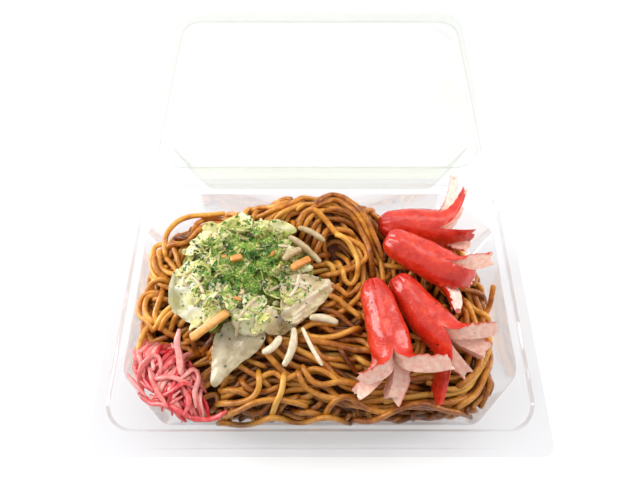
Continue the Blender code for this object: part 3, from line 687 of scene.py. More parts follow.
class Flow:
    """Which way strands run at each place, and where they must turn back."""

    def __init__(self, bed, edge, lines, spread):
        self.bed = bed
        i, j = np.meshgrid(np.arange(bed.shape[0]), np.arange(bed.shape[1]), indexing="ij")
        x = bed.low[0] + i * bed.cell
        y = bed.low[1] + j * bed.cell
        self.share = edge(x, y)
        slope_x, slope_y = np.gradient(self.share)
        length = np.hypot(slope_x, slope_y) + 1e-9
        self.inward = np.arctan2(-slope_y / length, -slope_x / length)
        self.cos2 = np.zeros(bed.shape)
        self.sin2 = np.zeros(bed.shape)
        for line in lines:
            for a, b in zip(line, line[1:]):
                turn = 2 * math.atan2(b[1] - a[1], b[0] - a[0])
                near = np.exp(-((x - (a[0] + b[0]) / 2) ** 2 + (y - (a[1] + b[1]) / 2) ** 2) / spread**2)
                self.cos2 += near * math.cos(turn)
                self.sin2 += near * math.sin(turn)
        size = np.maximum(np.hypot(self.cos2, self.sin2), 0.5)
        self.cos2 /= size
        self.sin2 /= size

    def line(self, draw, start, heading, length, curl, follow):
        """A wandering line seen from above: it curls at random, follows the flow and stays inside."""
        waves = []
        for shortest, longest in WAVE_LENGTHS:
            size = draw.uniform(0.3, 1.0) * curl
            waves.append((size, TAU / draw.uniform(shortest, longest), draw.uniform(0, TAU)))
        x, y = start
        spots = [(x, y)]
        low_x, low_y = self.bed.low
        cell = self.bed.cell
        last_i, last_j = (size - 1 for size in self.bed.shape)
        for step in range(int(length / STEP)):
            i = min(max(int(round((x - low_x) / cell)), 0), last_i)
            j = min(max(int(round((y - low_y) / cell)), 0), last_j)
            bend = sum(size * math.sin(rate * step * STEP + phase) for size, rate, phase in waves)
            along = self.sin2[i, j] * math.cos(2 * heading) - self.cos2[i, j] * math.sin(2 * heading)
            bend += follow * along
            share = self.share[i, j]
            if share > TURN_BACK:
                turn = math.sin(self.inward[i, j] - heading)
                outward = 0.5 - 0.5 * math.cos(self.inward[i, j] - heading)
                push = min((share - TURN_BACK) / 0.08, 2.0) * 0.16 * outward
                bend += push * (1 if turn >= 0 else -1)
            heading += bend * STEP
            x += math.cos(heading) * STEP
            y += math.sin(heading) * STEP
            if share > 1.0 and step > 4:
                break
            spots.append((x, y))
        return np.array(spots)


def dive(heights, length=7.0, depth=2.6):
    """A strand's two ends let down between the others."""
    reach = max(int(length / STEP), 2)
    heights = heights.copy()
    for index in range(min(reach, len(heights) // 2)):
        drop = depth * (1 - index / reach) ** 2
        heights[index] -= drop
        heights[-1 - index] -= drop
    return heights


def fill(bed, flow, draw, radius, lengths, curl, follow, most, siblings, settle):
    """Lays strands where the bed lacks most until it reaches its target. Gives each one's line."""
    laid = []
    misses = 0
    while len(laid) < most and misses < 60:
        lack = np.where(flow.share < 0.97, bed.target - bed.height, -1e3)
        wanted = lack > max(radius * 2 - settle, 0.35 * lack.max())
        rows, columns = np.nonzero(wanted)
        if len(rows) == 0:
            break
        best = None
        for _ in range(7):
            pick = draw.randrange(len(rows))
            start = (bed.low[0] + rows[pick] * bed.cell, bed.low[1] + columns[pick] * bed.cell)
            spots = flow.line(draw, start, draw.uniform(0, TAU), draw.uniform(*lengths), curl, follow)
            if len(spots) < 8:
                continue
            heights = bed.rest(spots, radius)
            short = bed.lack(spots, heights + radius)
            score = np.clip(short, -4, 8).mean() - 2.5 * np.maximum(-short - settle / 2, 0).mean()
            if best is None or score > best[0]:
                best = (score, spots, heights, short)
        if best is None or best[0] < -settle:
            misses += 1
            continue
        misses = 0
        for number in range(1 + (draw.random() < 0.75) * draw.randint(min(siblings, 1), siblings)):
            spots = best[1]
            if number:
                side = (1 if number % 2 else -1) * (number + 1) // 2 * radius * draw.uniform(1.85, 2.3)
                ahead = np.gradient(spots, axis=0)
                ahead /= np.linalg.norm(ahead, axis=1)[:, None] + 1e-9
                phase = np.arange(len(spots)) * STEP / draw.uniform(8, 20) + draw.uniform(0, 6)
                drift = side + np.sin(phase) * 0.9
                spots = spots + np.stack([-ahead[:, 1], ahead[:, 0]], axis=1) * drift[:, None]
                out = flow.share[tuple(bed.cells(spots).T)] >= 1.0
                if out.any():
                    spots = spots[: int(np.argmax(out))]
                spots = spots[draw.randrange(0, 6) :]
                if len(spots) < 10:
                    continue
            heights = bed.rest(spots, radius)
            short = bed.lack(spots, heights + radius)
            if number and short.mean() < -settle:
                continue
            bed.press(spots, heights, radius)
            laid.append((spots, heights))
    return laid


# ---- the noodles ----------------------------------------------------------------------------
HEAP_CENTRE = (-2.0, 0.0)
SAUCE_STARTS = -15.0  # painted shade: the noodles in front of this are darker the nearer the front
SAUCE_REACH = 35.0
CORE_DEPTH = 9.0  # from the heap's top down to its inside
CORE_SIDES = 72
# Passes over a bed. Each has the shortest and longest strand, how much one curls, how well it
# follows the flow, how many strands at most, how many beside each, and how far short it may stop.
TOP_PASSES = (
    ((70, 190), 0.08, 0.09, 420, 3, 1.2),
    ((20, 55), 0.12, 0.05, 160, 1, 1.0),
    ((14, 30), 0.15, 0.02, 140, 0, 0.6),
)
WALL_PASS = ((60, 180), 0.08, 0.05, 240, 2, 0.8)
FLOOR_PASS = ((80, 200), 0.06, 0.0, 150, 3, 0.8)
# Strands that show on top, each through a few given places, in laying order.
TOP_STRANDS = (
    (
        ((-11, 34), (-8, 40), (-3, 42), (3, 37), (8, 31), (15, 28))
        + ((21, 25), (23, 20), (19, 16), (10, 13), (0, 11))
    ),
    ((8, 30), (14, 26), (18, 19), (18, 11), (15, 7), (12, 9), (11, 15)),
    ((3, 43), (10, 43), (17, 40), (21, 32), (24, 24), (26, 12)),
    ((-4, 43), (3, 48), (9, 50), (16, 44), (20, 39), (24, 32), (28, 24), (30, 17), (31, 8)),
    ((-2, 45), (6, 53), (16, 48), (23, 38), (28, 29), (31, 20)),
    ((22, 45), (28, 49)),
    ((-2, 5), (3, 5), (9, 4), (13, 1), (17, 4), (20, 8)),
    ((-4, 1), (3, 1), (9, -2), (14, -6), (19, -10)),
    ((-5, -5), (2, -6), (9, -9), (14, -13), (19, -17)),
    ((-8, -19), (-1, -20), (7, -19), (13, -17), (20, -14)),
    ((-10, -21), (-2, -22), (6, -23), (14, -25), (24, -26)),
    ((-16, -22), (-9, -26), (-3, -29), (3, -33), (8, -38), (17, -40)),
    ((-28, -38), (-21, -35), (-16, -38), (-10, -36), (-2, -34), (5, -37), (10, -41), (18, -43)),
    ((-10, -35), (-7, -41), (-2, -44), (5, -46), (16, -45)),
    ((-8, -33), (-4, -39), (1, -41), (9, -40), (18, -41)),
    ((9, -25), (13, -31), (17, -35)),
    ((-50, -47), (-38, -48), (-30, -46), (-27, -41), (-28, -34)),
    ((-44, -53), (-36, -51), (-28, -48), (-18, -47), (-6, -49)),
    ((-16, -36), (-17, -44), (-20, -50), (-22, -54)),
    ((2, -53), (6, -48), (12, -46), (20, -50), (29, -52), (37, -49), (48, -50)),
    ((-47, -55), (-36, -56), (-27, -55), (-19, -54), (-9, -55), (4, -54), (14, -55)),
    ((14, -54), (24, -55), (34, -51), (44, -49), (56, -51), (70, -52)),
    ((48, -39), (60, -42), (70, -37), (78, -25), (81, -14)),
    ((62, -41), (72, -33), (75, -22), (74, -10), (69, 0)),
)
# Loops that lie against the left wall or stand clear of the heap, with their heights.
LOOSE_STRANDS = (
    (
        ((-80, -14, 27), (-84, -9, 27), (-88.5, -6, 26), (-89.5, -1, 26))
        + ((-88.5, 4, 26), (-84, 6, 27), (-79, 5, 28))
    ),
    ((-80, -10, 28), (-84, -7, 28), (-86, -2, 28), (-85, 3, 28), (-80, 4, 28)),
    (
        ((-79, 10, 29), (-83, 14, 29), (-86, 20, 28.4), (-86.2, 26, 28.8))
        + ((-85, 30, 29.4), (-81, 31, 30), (-76, 30, 30))
    ),
    ((-86.4, 20, 27.4), (-83.5, 19, 28.6), (-77, 18, 30)),
    (
        ((-79, 24, 30), (-80, 31, 31), (-79, 37, 32), (-74, 43, 33))
        + ((-67, 46, 33), (-59, 46, 34), (-50, 47, 34))
    ),
    ((-82, -10, 26), (-85, -15, 27), (-86, -21, 27), (-86, -28, 26)),
    ((76, -12, 27), (80, -7, 28), (82.5, -2, 31), (83, 2, 34.8), (83.2, 5, 38)),
)


def polar(tree, centre, heights, count=360):
    """How far a heap's CAD solid reaches from its centre, by height and by angle."""
    table = np.zeros((len(heights), count))
    for row, height in enumerate(heights):
        start = Vector((*centre, height))
        for column in range(count):
            angle = TAU * column / count - math.pi
            place = tree.ray_cast(start, Vector((math.cos(angle), math.sin(angle), 0.0)))[0]
            table[row, column] = (place - start).length if place is not None else table[row, column - 1]
    return table


def sharer(reach, centre, inset):
    """A function of a place: 0 at the centre, 1 where the heap ends, less the inset."""
    angles = np.linspace(-math.pi, math.pi, len(reach) + 1)
    reach = np.append(reach, reach[0])

    def share(x, y):
        out_x, out_y = x - centre[0], y - centre[1]
        far = np.interp(np.arctan2(out_y, out_x), angles, reach)
        return np.hypot(out_x, out_y) / (far - inset)

    return share


def surface_of(tree, beside):
    """A function of a place: the height of the heap's top, or the height given beside it."""

    def surface(x, y):
        found = top_of(tree, x, y)
        return beside if found is None else found[0]

    return surface


def flat_line(places):
    line = smooth_line([(*place, 0.0) for place in places], STEP)
    return np.array([(point.x, point.y) for point in line])


def sunk(surface, depth, least):
    """A function of a place: the height this deep under the heap's top, but not below the least."""
    return lambda x, y: max(surface(x, y) - depth, least)


def make_core(name, finish, slot, centre, walls, shares, top):
    """The inside of a heap: rings up its walls, then inwards over its top.
    Each wall is a height and how far it reaches at each angle."""
    points = []
    last = walls[-1][1]
    sides = len(last)
    turns = [TAU * column / sides - math.pi for column in range(sides)]
    rounds = [*walls, *((None, last * share) for share in shares)]
    for height, reach in rounds:
        for far, turn in zip(reach, turns):
            x, y = centre[0] + far * math.cos(turn), centre[1] + far * math.sin(turn)
            points.append((x, y, top(x, y) if height is None else height))
    faces = stack(0, len(rounds), sides)
    faces.append(tuple(range(sides))[::-1])
    faces.append(tuple(range(len(points) - sides, len(points))))
    piece(name, points, faces, finish, slot)


def make_noodles(toppings):
    draw = random.Random(11)
    heap = tree_of("noodles")
    surface = surface_of(heap, 24.0)
    bed = bed_over("noodles", 2.0, FINE_CELL, surface, CORE_DEPTH)
    over = tree_of(*toppings)
    for i, j in np.ndindex(*bed.shape):
        place = Vector((bed.low[0] + i * bed.cell, bed.low[1] + j * bed.cell, 10.0))
        hit = over.ray_cast(place, UP)[0]
        if hit is not None:
            bed.ceiling[i, j] = hit.z
    chosen = [flat_line(strand) for strand in TOP_STRANDS]
    share = sharer(polar(heap, HEAP_CENTRE, [25.0])[0], HEAP_CENTRE, NOODLE)
    flow = Flow(bed, share, chosen, 9.0)
    full = bed.target.copy()
    for line in chosen:
        rows, columns, _ = bed.covered(line, NOODLE * 1.6)
        bed.target[rows, columns] = full[rows, columns] - NOODLE * 1.7
    laid = []
    for pass_values in TOP_PASSES:
        laid += fill(bed, flow, draw, NOODLE, *pass_values)
    bed.target = full
    top = Strands()

    def add(spots, heights):
        # how far under the heap's top the strand lies, which sets its painted shade
        depth = np.clip((full[tuple(bed.cells(spots).T)] - heights - NOODLE - 1.0) / 8.0, 0, 1)
        path = np.column_stack([spots, heights])
        tone = unit(draw.gauss(0.57, 0.17), 0.1)
        radius = NOODLE * draw.uniform(0.9, 1.06)
        top.add(path, [radius] * len(path), 8, tone, sauced(depth, path))

    for spots, heights in laid:
        add(spots, dive(heights))
    for line in chosen:
        heights = bed.rest(line, NOODLE)
        bed.press(line, heights, NOODLE)
        add(line, dive(heights, 4.0, 1.8))
    for strand in LOOSE_STRANDS:
        path = smooth_line(strand, STEP)
        top.add(path, [NOODLE] * len(path), 8, draw.uniform(0.5, 0.8))
    paint = noodle_paint("fried_noodle_strands")
    top.make("noodle_strands", paint, "fried_noodle", ("noodles",))
    make_wall_noodles(heap, paint, draw)
    make_floor_noodles(heap, paint, draw)
    heights = (5.5, 9.0, 14.0, 18.0)
    walls = list(zip(heights, polar(heap, HEAP_CENTRE, heights, CORE_SIDES) - 5.2))
    # painted shade: the core is darker and browner than the strands, so the gaps between them look deep and
    # shaded
    brown = ((0.3, colour(64, 26, 8)), (0.7, colour(122, 60, 22)))
    finish = mottled_paint("noodle_core", 0.6, (4.0, 2.0), (2.4, 2.0), 2.0, *brown)
    inwards = (0.97, 0.85, 0.7, 0.55, 0.4, 0.25, 0.1)
    inside = sunk(surface, CORE_DEPTH - 1.0, heights[-1] + 0.2)
    make_core("noodle_core", finish, "fried_noodle", HEAP_CENTRE, walls, inwards, inside)
    return bed


def sauced(depth, path):
    """How much painted shade a strand gets: more the deeper it lies, and more at the front, away from the
    lamps behind the pack.
    """
    front = np.clip((SAUCE_STARTS - path[:, 1]) / SAUCE_REACH, 0.0, 1.0)
    return np.clip(depth + 0.3 * front, 0.0, 1.0).tolist()


def make_wall_noodles(heap, paint, draw):
    """Strands pressed flat against the tub's wall. They are laid on the wall unrolled to a strip."""
    lowest, rise = 2.2, 1.8
    heights = np.arange(lowest, 25.6, rise)
    table = polar(heap, HEAP_CENTRE, heights)
    count = table.shape[1]
    angles = TAU * np.arange(count + 1) / count - math.pi
    middle = table[len(heights) // 2]
    middle = np.append(middle, middle[0])
    x, y = middle * np.cos(angles), middle * np.sin(angles)
    along = np.append(0.0, np.cumsum(np.hypot(np.diff(x), np.diff(y))))
    length = along[-1]

    half = 13.0  # of the strip's height

    def edge(u, v):
        return np.maximum(np.abs(v - half) / (half - 0.5), np.abs(u - length / 2) / (length / 2 + 3.0))

    bed = Bed((0.0, 0.0), (length, 2 * half + 0.5), FINE_CELL, lambda u, v: 0.0, 6.5)
    flow = Flow(bed, edge, [[(0.0, half), (length, half)]], 1e4)
    walls = Strands()
    for spots, outward in fill(bed, flow, draw, NOODLE, *WALL_PASS):
        outward = dive(outward, 5.0, 2.0)
        turn = np.interp(spots[:, 0], along, angles)
        row = np.clip((spots[:, 1] - lowest) / rise, 0, len(heights) - 1.001)
        column = (turn + math.pi) / TAU * count
        low_row, left = row.astype(int), column.astype(int)
        row, column = row - low_row, column - left
        far = 0.0
        for up in (0, 1):
            for over in (0, 1):
                share = abs(1 - up - row) * abs(1 - over - column)
                far = far + table[low_row + up, (left + over) % count] * share
        far += np.minimum(outward, -NOODLE)
        x, y = HEAP_CENTRE[0] + far * np.cos(turn), HEAP_CENTRE[1] + far * np.sin(turn)
        path = np.column_stack([x, y, np.maximum(spots[:, 1], lowest)])
        # the deeper a strand lies behind the wall's face, the more painted shade it gets
        depth = np.clip(-outward / 10.0 - 0.15, 0, 1)
        tone = unit(draw.gauss(0.5, 0.16), 0.1)
        radius = NOODLE * draw.uniform(0.92, 1.05)
        walls.add(path, [radius] * len(path), 7, tone, sauced(depth, path))
    walls.make("noodle_strands_at_the_wall", paint, "fried_noodle")


def make_floor_noodles(heap, paint, draw):
    """Strands pressed flat on the tub's floor, laid upside down."""
    bed = bed_over("noodles", 0.0, 1.0, lambda x, y: -0.9, 5.1)
    share = sharer(polar(heap, HEAP_CENTRE, [1.4])[0], HEAP_CENTRE, NOODLE + 0.5)
    floor = Strands()
    for spots, drop in fill(bed, Flow(bed, share, [], 1.0), draw, NOODLE, *FLOOR_PASS):
        path = np.column_stack([spots, np.maximum(-dive(drop), 0.8 + NOODLE)])
        tone = unit(draw.gauss(0.45, 0.16), 0.1)
        floor.add(path, [NOODLE * 0.97] * len(path), 6, tone)
    floor.make("noodle_strands_on_the_floor", paint, "fried_noodle")


# ---- the sausages ---------------------------------------------------------------------------
# Each has its head, the middle of its body and the place where its legs begin, and how wide its
# head is beside its body. Then come its legs: where on the body a leg's cut starts, in degrees
# from the top towards the left as seen from the legs, how many degrees of the body it takes, the
# place its tip has curled to, how far it rolls over on the way, and how much narrower its tip is.
SAUSAGES = {
    "sausage_1": {
        "radius": 9.2,
        "head": (23.2, 5.0, 49.0),
        "middle": (28.2, -13.5, 46.6),
        "split": (31.4, -28.5, 45.6),
        "head_size": 0.74,
        "legs": (
            (-100, 105, (54.2, -34.5, 50.8), -60, 0.15),
            (5, 80, (17.0, -39.5, 46.0), 60, 0.35),
            (85, 80, (16.0, -46.0, 39.5), 15, 0.35),
            (165, 95, (30.5, -47.5, 36.5), 0, 0.35),
        ),
    },
    "sausage_2": {
        "radius": 9.0,
        "head": (35.2, 7.6, 46.2),
        "middle": (44.8, -7.0, 43.0),
        "split": (54.4, -18.2, 42.4),
        "head_size": 0.76,
        "legs": (
            (-85, 90, (78.0, -17.5, 44.5), -65, 0.15),
            (5, 90, (52.0, -46.5, 33.8), 20, 0.35),
            (95, 85, (66.0, -36.0, 36.0), 15, 0.6),
            (180, 95, (75.0, -27.5, 39.0), 10, 0.15),
        ),
    },
    "sausage_3": {
        "radius": 8.9,
        "head": (30.8, 26.0, 48.0),
        "middle": (44.5, 18.6, 47.0),
        "split": (57.2, 10.8, 46.6),
        "head_size": 0.8,
        "legs": (
            (-85, 80, (80.5, 15.5, 46.5), -65, 0.1),
            (-5, 90, (71.5, 6.5, 44.5), 0, 0.3),
            (85, 90, (62.0, -8.5, 43.0), -30, 0.5),
            (175, 100, (74.0, 9.0, 38.5), 0, 0.3),
        ),
    },
    "sausage_4": {
        "radius": 8.8,
        "head": (29.3, 37.5, 39.6),
        "middle": (44.5, 37.6, 38.8),
        "split": (58.0, 36.0, 40.0),
        "head_size": 0.82,
        "legs": (
            (-100, 65, (66.2, 57.0, 54.0), -45, 0.75),
            (-35, 65, (72.0, 50.5, 52.5), 0, 0.75),
            (30, 75, (76.2, 31.0, 42.5), 0, 0.35),
            (105, 80, (75.0, 27.0, 34.0), 0, 0.3),
            (185, 75, (72.0, 48.0, 37.0), 0, 0.4),
        ),
    },
}
BODY_RINGS = 46
LEG_RINGS = 22
LEG_ARC = 14  # steps across the skin of one leg
# Points across a cut face: how far from the core out to the skin, and how pale.
CUT = ((0.3, 1.0), (0.6, 1.0), (0.84, 1.0), (0.95, 0.55))
LEG_MIDDLE = 6.0  # from the sausage's centre line out to the middle of a leg
LEG_THINNING = 0.45  # how much of its depth a leg has lost at its tip
ROLL_END = 0.6  # how far along a leg its roll is complete
HEAD_SHARE = 0.24  # the share of the body that the rounded head takes
HEAD_HOLLOW = 1.1  # how deep the pucker at the head sinks in


def parabola(start, middle, end, steps):
    """Points on the curve that leaves the start towards the middle and arrives at the end."""
    shares = [step / steps for step in range(steps + 1)]
    return [start * (1 - t) ** 2 + middle * 2 * t * (1 - t) + end * t**2 for t in shares]


def across(frame, turn):
    _, side, up = frame
    angle = math.radians(turn)
    return up * math.cos(angle) + side * math.sin(angle)


def leg_frames(path, start_frame):
    """Frames along a leg that start as the body's frame, and only bend with the path."""
    frames = [start_frame]
    for index in range(1, len(path)):
        after = path[min(index + 1, len(path) - 1)]
        tangent = (after - path[index - 1]).normalized()
        bend = frames[-1][0].rotation_difference(tangent)
        _, side, up = frames[-1]
        frames.append((tangent, bend @ side, bend @ up))
    return frames


def lumpy(point, outward, coarse, fine):
    """A point moved in or out by the unevenness of soft skin."""
    move = coarse * noise.noise(point / 7.0) + fine * noise.noise(point / 2.6)
    return point + outward * move


class Sausage:
    """One sausage: points, faces, and at each point how pale it is and how much painted shade its head's
    creases get.
    """

    def __init__(self, plan):
        self.plan = plan
        self.points = []
        self.pale = []
        self.pucker = []
        self.faces = []
        head, middle, split = (Vector(plan[key]) for key in ("head", "middle", "split"))
        self.path = parabola(head, middle * 2 - (head + split) / 2, split, BODY_RINGS)
        self.frames = frames_along(self.path)
        self.turns = []
        for start, width, *_ in plan["legs"]:
            self.turns.extend(start + width * step / LEG_ARC for step in range(LEG_ARC))
        self.add_body()
        self.add_legs()

    def add(self, point, pale=0.0, pucker=0.0):
        self.points.append(point)
        self.pale.append(pale)
        self.pucker.append(pucker)
        return len(self.points) - 1

    def add_body(self):
        sides = len(self.turns)
        size, full = self.plan["head_size"], self.plan["radius"]
        for index in range(1, BODY_RINGS + 1):
            share = index / BODY_RINGS
            roundness = min(share / HEAD_SHARE, 1.0)
            radius = full * (size + (1 - size) * eased(share / 0.85))
            radius *= math.sqrt(1 - (1 - roundness) ** 2)
            near_head = math.exp(-((share / 0.16) ** 2))
            for turn in self.turns:
                outward = across(self.frames[index], turn)
                angle = math.radians(turn)
                fold = math.sin(9 * angle + 1.6 * math.sin(2 * angle) + 5 * share)
                fold += 0.5 * math.sin(17 * angle + 3 * share)
                far = radius - 0.8 * near_head * max(fold, -0.4) * min(roundness * 2.5, 1.0)
                even = math.exp(-(((1 - share) / 0.05) ** 2))
                point = self.path[index] + outward * far
                # painted shade over the head, deepest in the hollows of its folds
                dark = near_head * (0.55 + 0.45 * unit(fold, -1.0))
                self.add(lumpy(point, outward, 0.5 * (1 - even), 0.16 * (1 - even)), 0.0, dark)
        tip = self.add(self.path[0] + self.frames[0][0] * HEAD_HOLLOW, 0.0, 1.0)
        self.faces.extend(fan(tip, 0, sides))
        self.faces.extend(stack(0, BODY_RINGS, sides))

    def add_legs(self):
        sides = len(self.turns)
        rim = (BODY_RINGS - 1) * sides
        core = self.add(self.path[-1], 1.0)
        cuts = []
        for number in range(len(self.plan["legs"])):
            edge = self.points[rim + number * LEG_ARC]
            cuts.append([self.add(self.path[-1].lerp(edge, share), 1.0) for share, _ in CUT])
        for number, leg in enumerate(self.plan["legs"]):
            arc = [rim + (number * LEG_ARC + step) % sides for step in range(LEG_ARC + 1)]
            after = cuts[(number + 1) % len(cuts)]
            self.add_leg(number, leg, [core] + cuts[number] + arc + after[::-1])

    def add_leg(self, number, leg, ring):
        start_turn, width, tip, roll, narrowing = leg
        start = self.path[-1] + across(self.frames[-1], start_turn + width / 2) * LEG_MIDDLE
        path = parabola(start, start + self.frames[-1][0] * 9, Vector(tip), LEG_RINGS)
        frames = leg_frames(path, self.frames[-1])
        radius = self.plan["radius"]
        seed = number * 7.3 + radius + tip[0]
        for index in range(1, LEG_RINGS + 1):
            share = index / LEG_RINGS
            depth = 1 - LEG_THINNING * share
            place, frame_here = path[index], frames[index]
            rolled = roll * eased(share / ROLL_END)
            outward = across(frame_here, start_turn + width / 2 + rolled)
            torn = max(share - 0.7, 0.0) / 0.3
            spare = width * narrowing * share / 2

            def spot(u, far):
                """A place in the leg's section: u across the skin, far from its core to the skin."""
                turn = start_turn + spare + (width - 2 * spare) * u + rolled
                rim = abs(2 * u - 1) ** 8 * eased(share * 5)
                nick = noise.noise(Vector((share * 11, u * 3, seed)))
                nick += 0.7 * noise.noise(Vector((share * 29, u * 3, seed + 4)))
                arm = across(frame_here, turn) * radius * (1 + 0.16 * rim * nick)
                inward = arm.dot(outward) * (1 - depth)
                skin = place + arm - outward * (LEG_MIDDLE * depth + inward)
                inner = place - outward * LEG_MIDDLE * depth
                point = inner.lerp(skin, far)
                rag = noise.noise(Vector((u * 4.0, far * 1.5, seed)))
                rag += 0.6 * noise.noise(Vector((u * 13.0, far * 5.0, seed + 8)))
                point += frame_here[0] * torn * (3.4 * rag - 0.8)
                return lumpy(point, outward, 0.4, 0.25 if far < 1 else 0.12)

            section = [self.add(spot(0.5, 0.0), 1.0)]
            section += [self.add(spot(0.0, far), pale) for far, pale in CUT]
            section += [self.add(spot(step / LEG_ARC, 1.0)) for step in range(LEG_ARC + 1)]
            section += [self.add(spot(1.0, far), pale) for far, pale in CUT[::-1]]
            self.join(ring, section)
            ring = section
        middle = sum((self.points[i] for i in ring), Vector()) / len(ring)
        ahead = frames[-1][0]
        inner = [self.add(self.points[i].lerp(middle, 0.16) + ahead * 0.25, 1.0) for i in ring]
        self.join(ring, inner)
        hub = self.add(middle - ahead * 0.3, 1.0)
        self.faces.extend((i, j, hub) for i, j in zip(inner, inner[1:] + inner[:1]))

    def join(self, ring, section):
        """Quads between two closed lists of points."""
        following = zip(ring[1:] + ring[:1], section[1:] + section[:1])
        self.faces.extend((a, b, d, c) for a, c, (b, d) in zip(ring, section, following))


def make_sausages():
    finish = sausage_paint()
    for name, plan in SAUSAGES.items():
        made = Sausage(plan)
        values = {"pale": made.pale, "pucker": made.pucker}
        title = f"octopus_{name}"
        piece(title, made.points, made.faces, finish, "sausage_skin", replaced=(name,), sharp=50, **values)


# ---- the vegetables -------------------------------------------------------------------------
CABBAGE_SHADES = {  # darker, lighter and vein
    "pale": (colour(208, 204, 136), colour(236, 230, 186), colour(248, 243, 218)),
    "green": (colour(178, 182, 76), colour(230, 220, 142), colour(246, 238, 190)),
    "browned": (colour(150, 130, 92), colour(188, 172, 136), colour(204, 190, 158)),
    "tan": (colour(204, 174, 116), colour(226, 206, 158), colour(242, 226, 190)),
}
# Each leaf has its paint, the corners of its outline, and its creases: where each starts and
# ends, how high it stands and how wide it is.
LEAVES = {
    "cabbage_1": (
        "pale",
        ((-70, -6), (-71, 3), (-69, 11), (-62, 14), (-54, 11)),
        ((-47, 3), (-44, -7), (-47, -15), (-55, -17), (-63, -12)),
        (
            ((-69, 3), (-48, 1), 1.3, 1.5),
            ((-66, -9), (-47, -4), 1.2, 1.4),
            ((-63, 12), (-57, -1), 0.8, 1.6),
        ),
    ),
    "cabbage_2": (
        "green",
        ((-67, 21), (-61, 28), (-54, 33), (-46, 31)),
        ((-45, 25), (-53, 20), (-61, 18)),
        (((-64, 21), (-47, 28), 0.9, 1.5),),
    ),
    "cabbage_3": (
        "green",
        ((-45, 33), (-40, 39), (-33, 38), (-24, 37), (-14, 34)),
        ((-12, 30), (-20, 28), (-31, 29), (-41, 29)),
        (((-42, 35), (-28, 32), 0.9, 1.4), ((-30, 33), (-14, 32), 0.8, 1.2)),
    ),
    "cabbage_4": (
        "browned",
        ((-46, -17), (-35, -14), (-25, -18), (-28, -26)),
        ((-38, -34), (-47, -42), (-49, -30)),
        (((-45, -21), (-46, -38), 0.4, 2.0),),
    ),
    "cabbage_5": (
        "tan",
        ((-18, 5), (-8, 8), (5, 7), (2, -2)),
        ((-5, -10), (-12, -15), (-17, -13), (-18, -4)),
        (((3, 6), (-11, -12), 1.5, 1.3), ((-16, 3), (-3, 4), 0.5, 2.0)),
    ),
    "cabbage_6": (
        "pale",
        ((-40, -13), (-33, -10), (-25, -9), (-20, -8)),
        ((-20, -14), (-26, -19), (-35, -20)),
        (),
    ),
}
FURTHER_LEAVES = {  # more leaves, which lie on the heap and on the leaves above
    "slip_1": (
        "tan",
        ((-22, -13), (-12, -3), (-4, 5), (4, 7.5)),
        ((7, 4), (1, -4), (-6, -11), (-14, -17), (-23, -19), (-28, -17)),
        (((-24, -16), (4, 5), 1.2, 1.1), ((-12, -12), (-2, 0), 0.6, 0.9)),
    ),
    "slip_2": (
        "pale",
        ((-58, 14), (-52, 19), (-44, 19), (-39, 15)),
        ((-42, 9), (-50, 7), (-57, 9)),
        (((-56, 12), (-41, 14), 1.2, 1.3),),
    ),
    "slip_3": (
        "pale",
        ((-47, -4), (-40, 1), (-31, 0), (-27, -5)),
        ((-31, -11), (-40, -12), (-47, -9)),
        (((-45, -6), (-29, -5), 1.0, 1.2),),
    ),
    "slip_4": (
        "green",
        ((-34, 22), (-28, 28), (-19, 27), (-14, 22)),
        ((-19, 17), (-28, 16), (-34, 18)),
        (((-32, 20), (-16, 23), 1.1, 1.2),),
    ),
}
FOLDED_LEAF = "cabbage_6"
LEAF_SIDES = 96
LEAF_RINGS = 16
LEAF_THICKNESS = 0.5
SPROUTS = {  # start, the point it bends round, end, radius
    "sprout_1": ((-12.0, -17.0), (-10.5, -25.0), (-16.0, -33.0), 2.1),
    "sprout_2": ((-25.5, -27.5), (-20.5, -26.5), (-18.0, -20.5), 2.0),
    "sprout_3": ((-4.5, -11.5), (2.0, -10.5), (8.0, -13.8), 2.1),
    "sprout_4": ((-8.0, -16.5), (-5.0, -24.0), (1.0, -33.0), 1.2),
    "sprout_5": ((-10.5, 32.5), (-4.0, 31.5), (2.0, 26.5), 1.6),
    "sprout_6": ((-15.0, 27.0), (-6.0, 23.5), (0.0, 16.5), 1.9),
    "sprout_7": ((-17.0, 14.0), (-13.5, 18.5), (-9.5, 21.0), 1.9),
}
CARROTS = {  # start, end, width, depth
    "carrot_1": ((-57.0, -22.0, 44.0), (-41.2, -12.0, 49.5), 3.5, 2.8),
    "carrot_2": ((-13.0, 9.0, 50.0), (-5.0, 14.5, 48.5), 3.2, 2.8),
    "carrot_3": ((-41.0, 12.8, 51.5), (-36.5, 14.2, 51.3), 2.8, 2.4),
}
MOUND_CENTRE = (-37.0, 9.0)
MOUND_FOOT = 36.0  # nothing fine is strewn lower than this
FLAKE_TRIES = 7000
FLAKE_THICKNESS = 0.14


def closed_curve(corners, count):
    """Points evenly along a smooth loop through the corners."""
    corners = [Vector(corner) for corner in corners]
    size, parts = len(corners), 12
    dense = []
    for index in range(size):
        four = [corners[(index + move) % size] for move in (-1, 0, 1, 2)]
        dense.extend(spline(*four, part / parts) for part in range(parts))
    loop = np.array([*dense, dense[0]])
    along = np.append(0.0, np.cumsum(np.linalg.norm(np.diff(loop, axis=0), axis=1)))
    goals = along[-1] * np.arange(count) / count
    spots = np.column_stack([np.interp(goals, along, loop[:, axis]) for axis in (0, 1)])
    return [Vector(spot) for spot in spots]


def shell(rings, sides):
    """Faces of a thin piece: rings of points above, the same below, joined round the edge.
    The last point above is the middle one."""
    half = rings * sides + 1
    faces = []
    for base in (0, half):
        middle = base + rings * sides
        side = stack(base, rings, sides) + turned(fan(middle, middle - sides, sides))
        faces.extend(turned(side) if base else side)
    return faces + turned(bridge(0, half, sides))


def beside(spot, start, end):
    """How far a spot is from a line between two places."""
    start = Vector(start)
    along = Vector(end) - start
    share = unit((spot - start).dot(along) / along.length_squared)
    return (spot - start - along * share).length


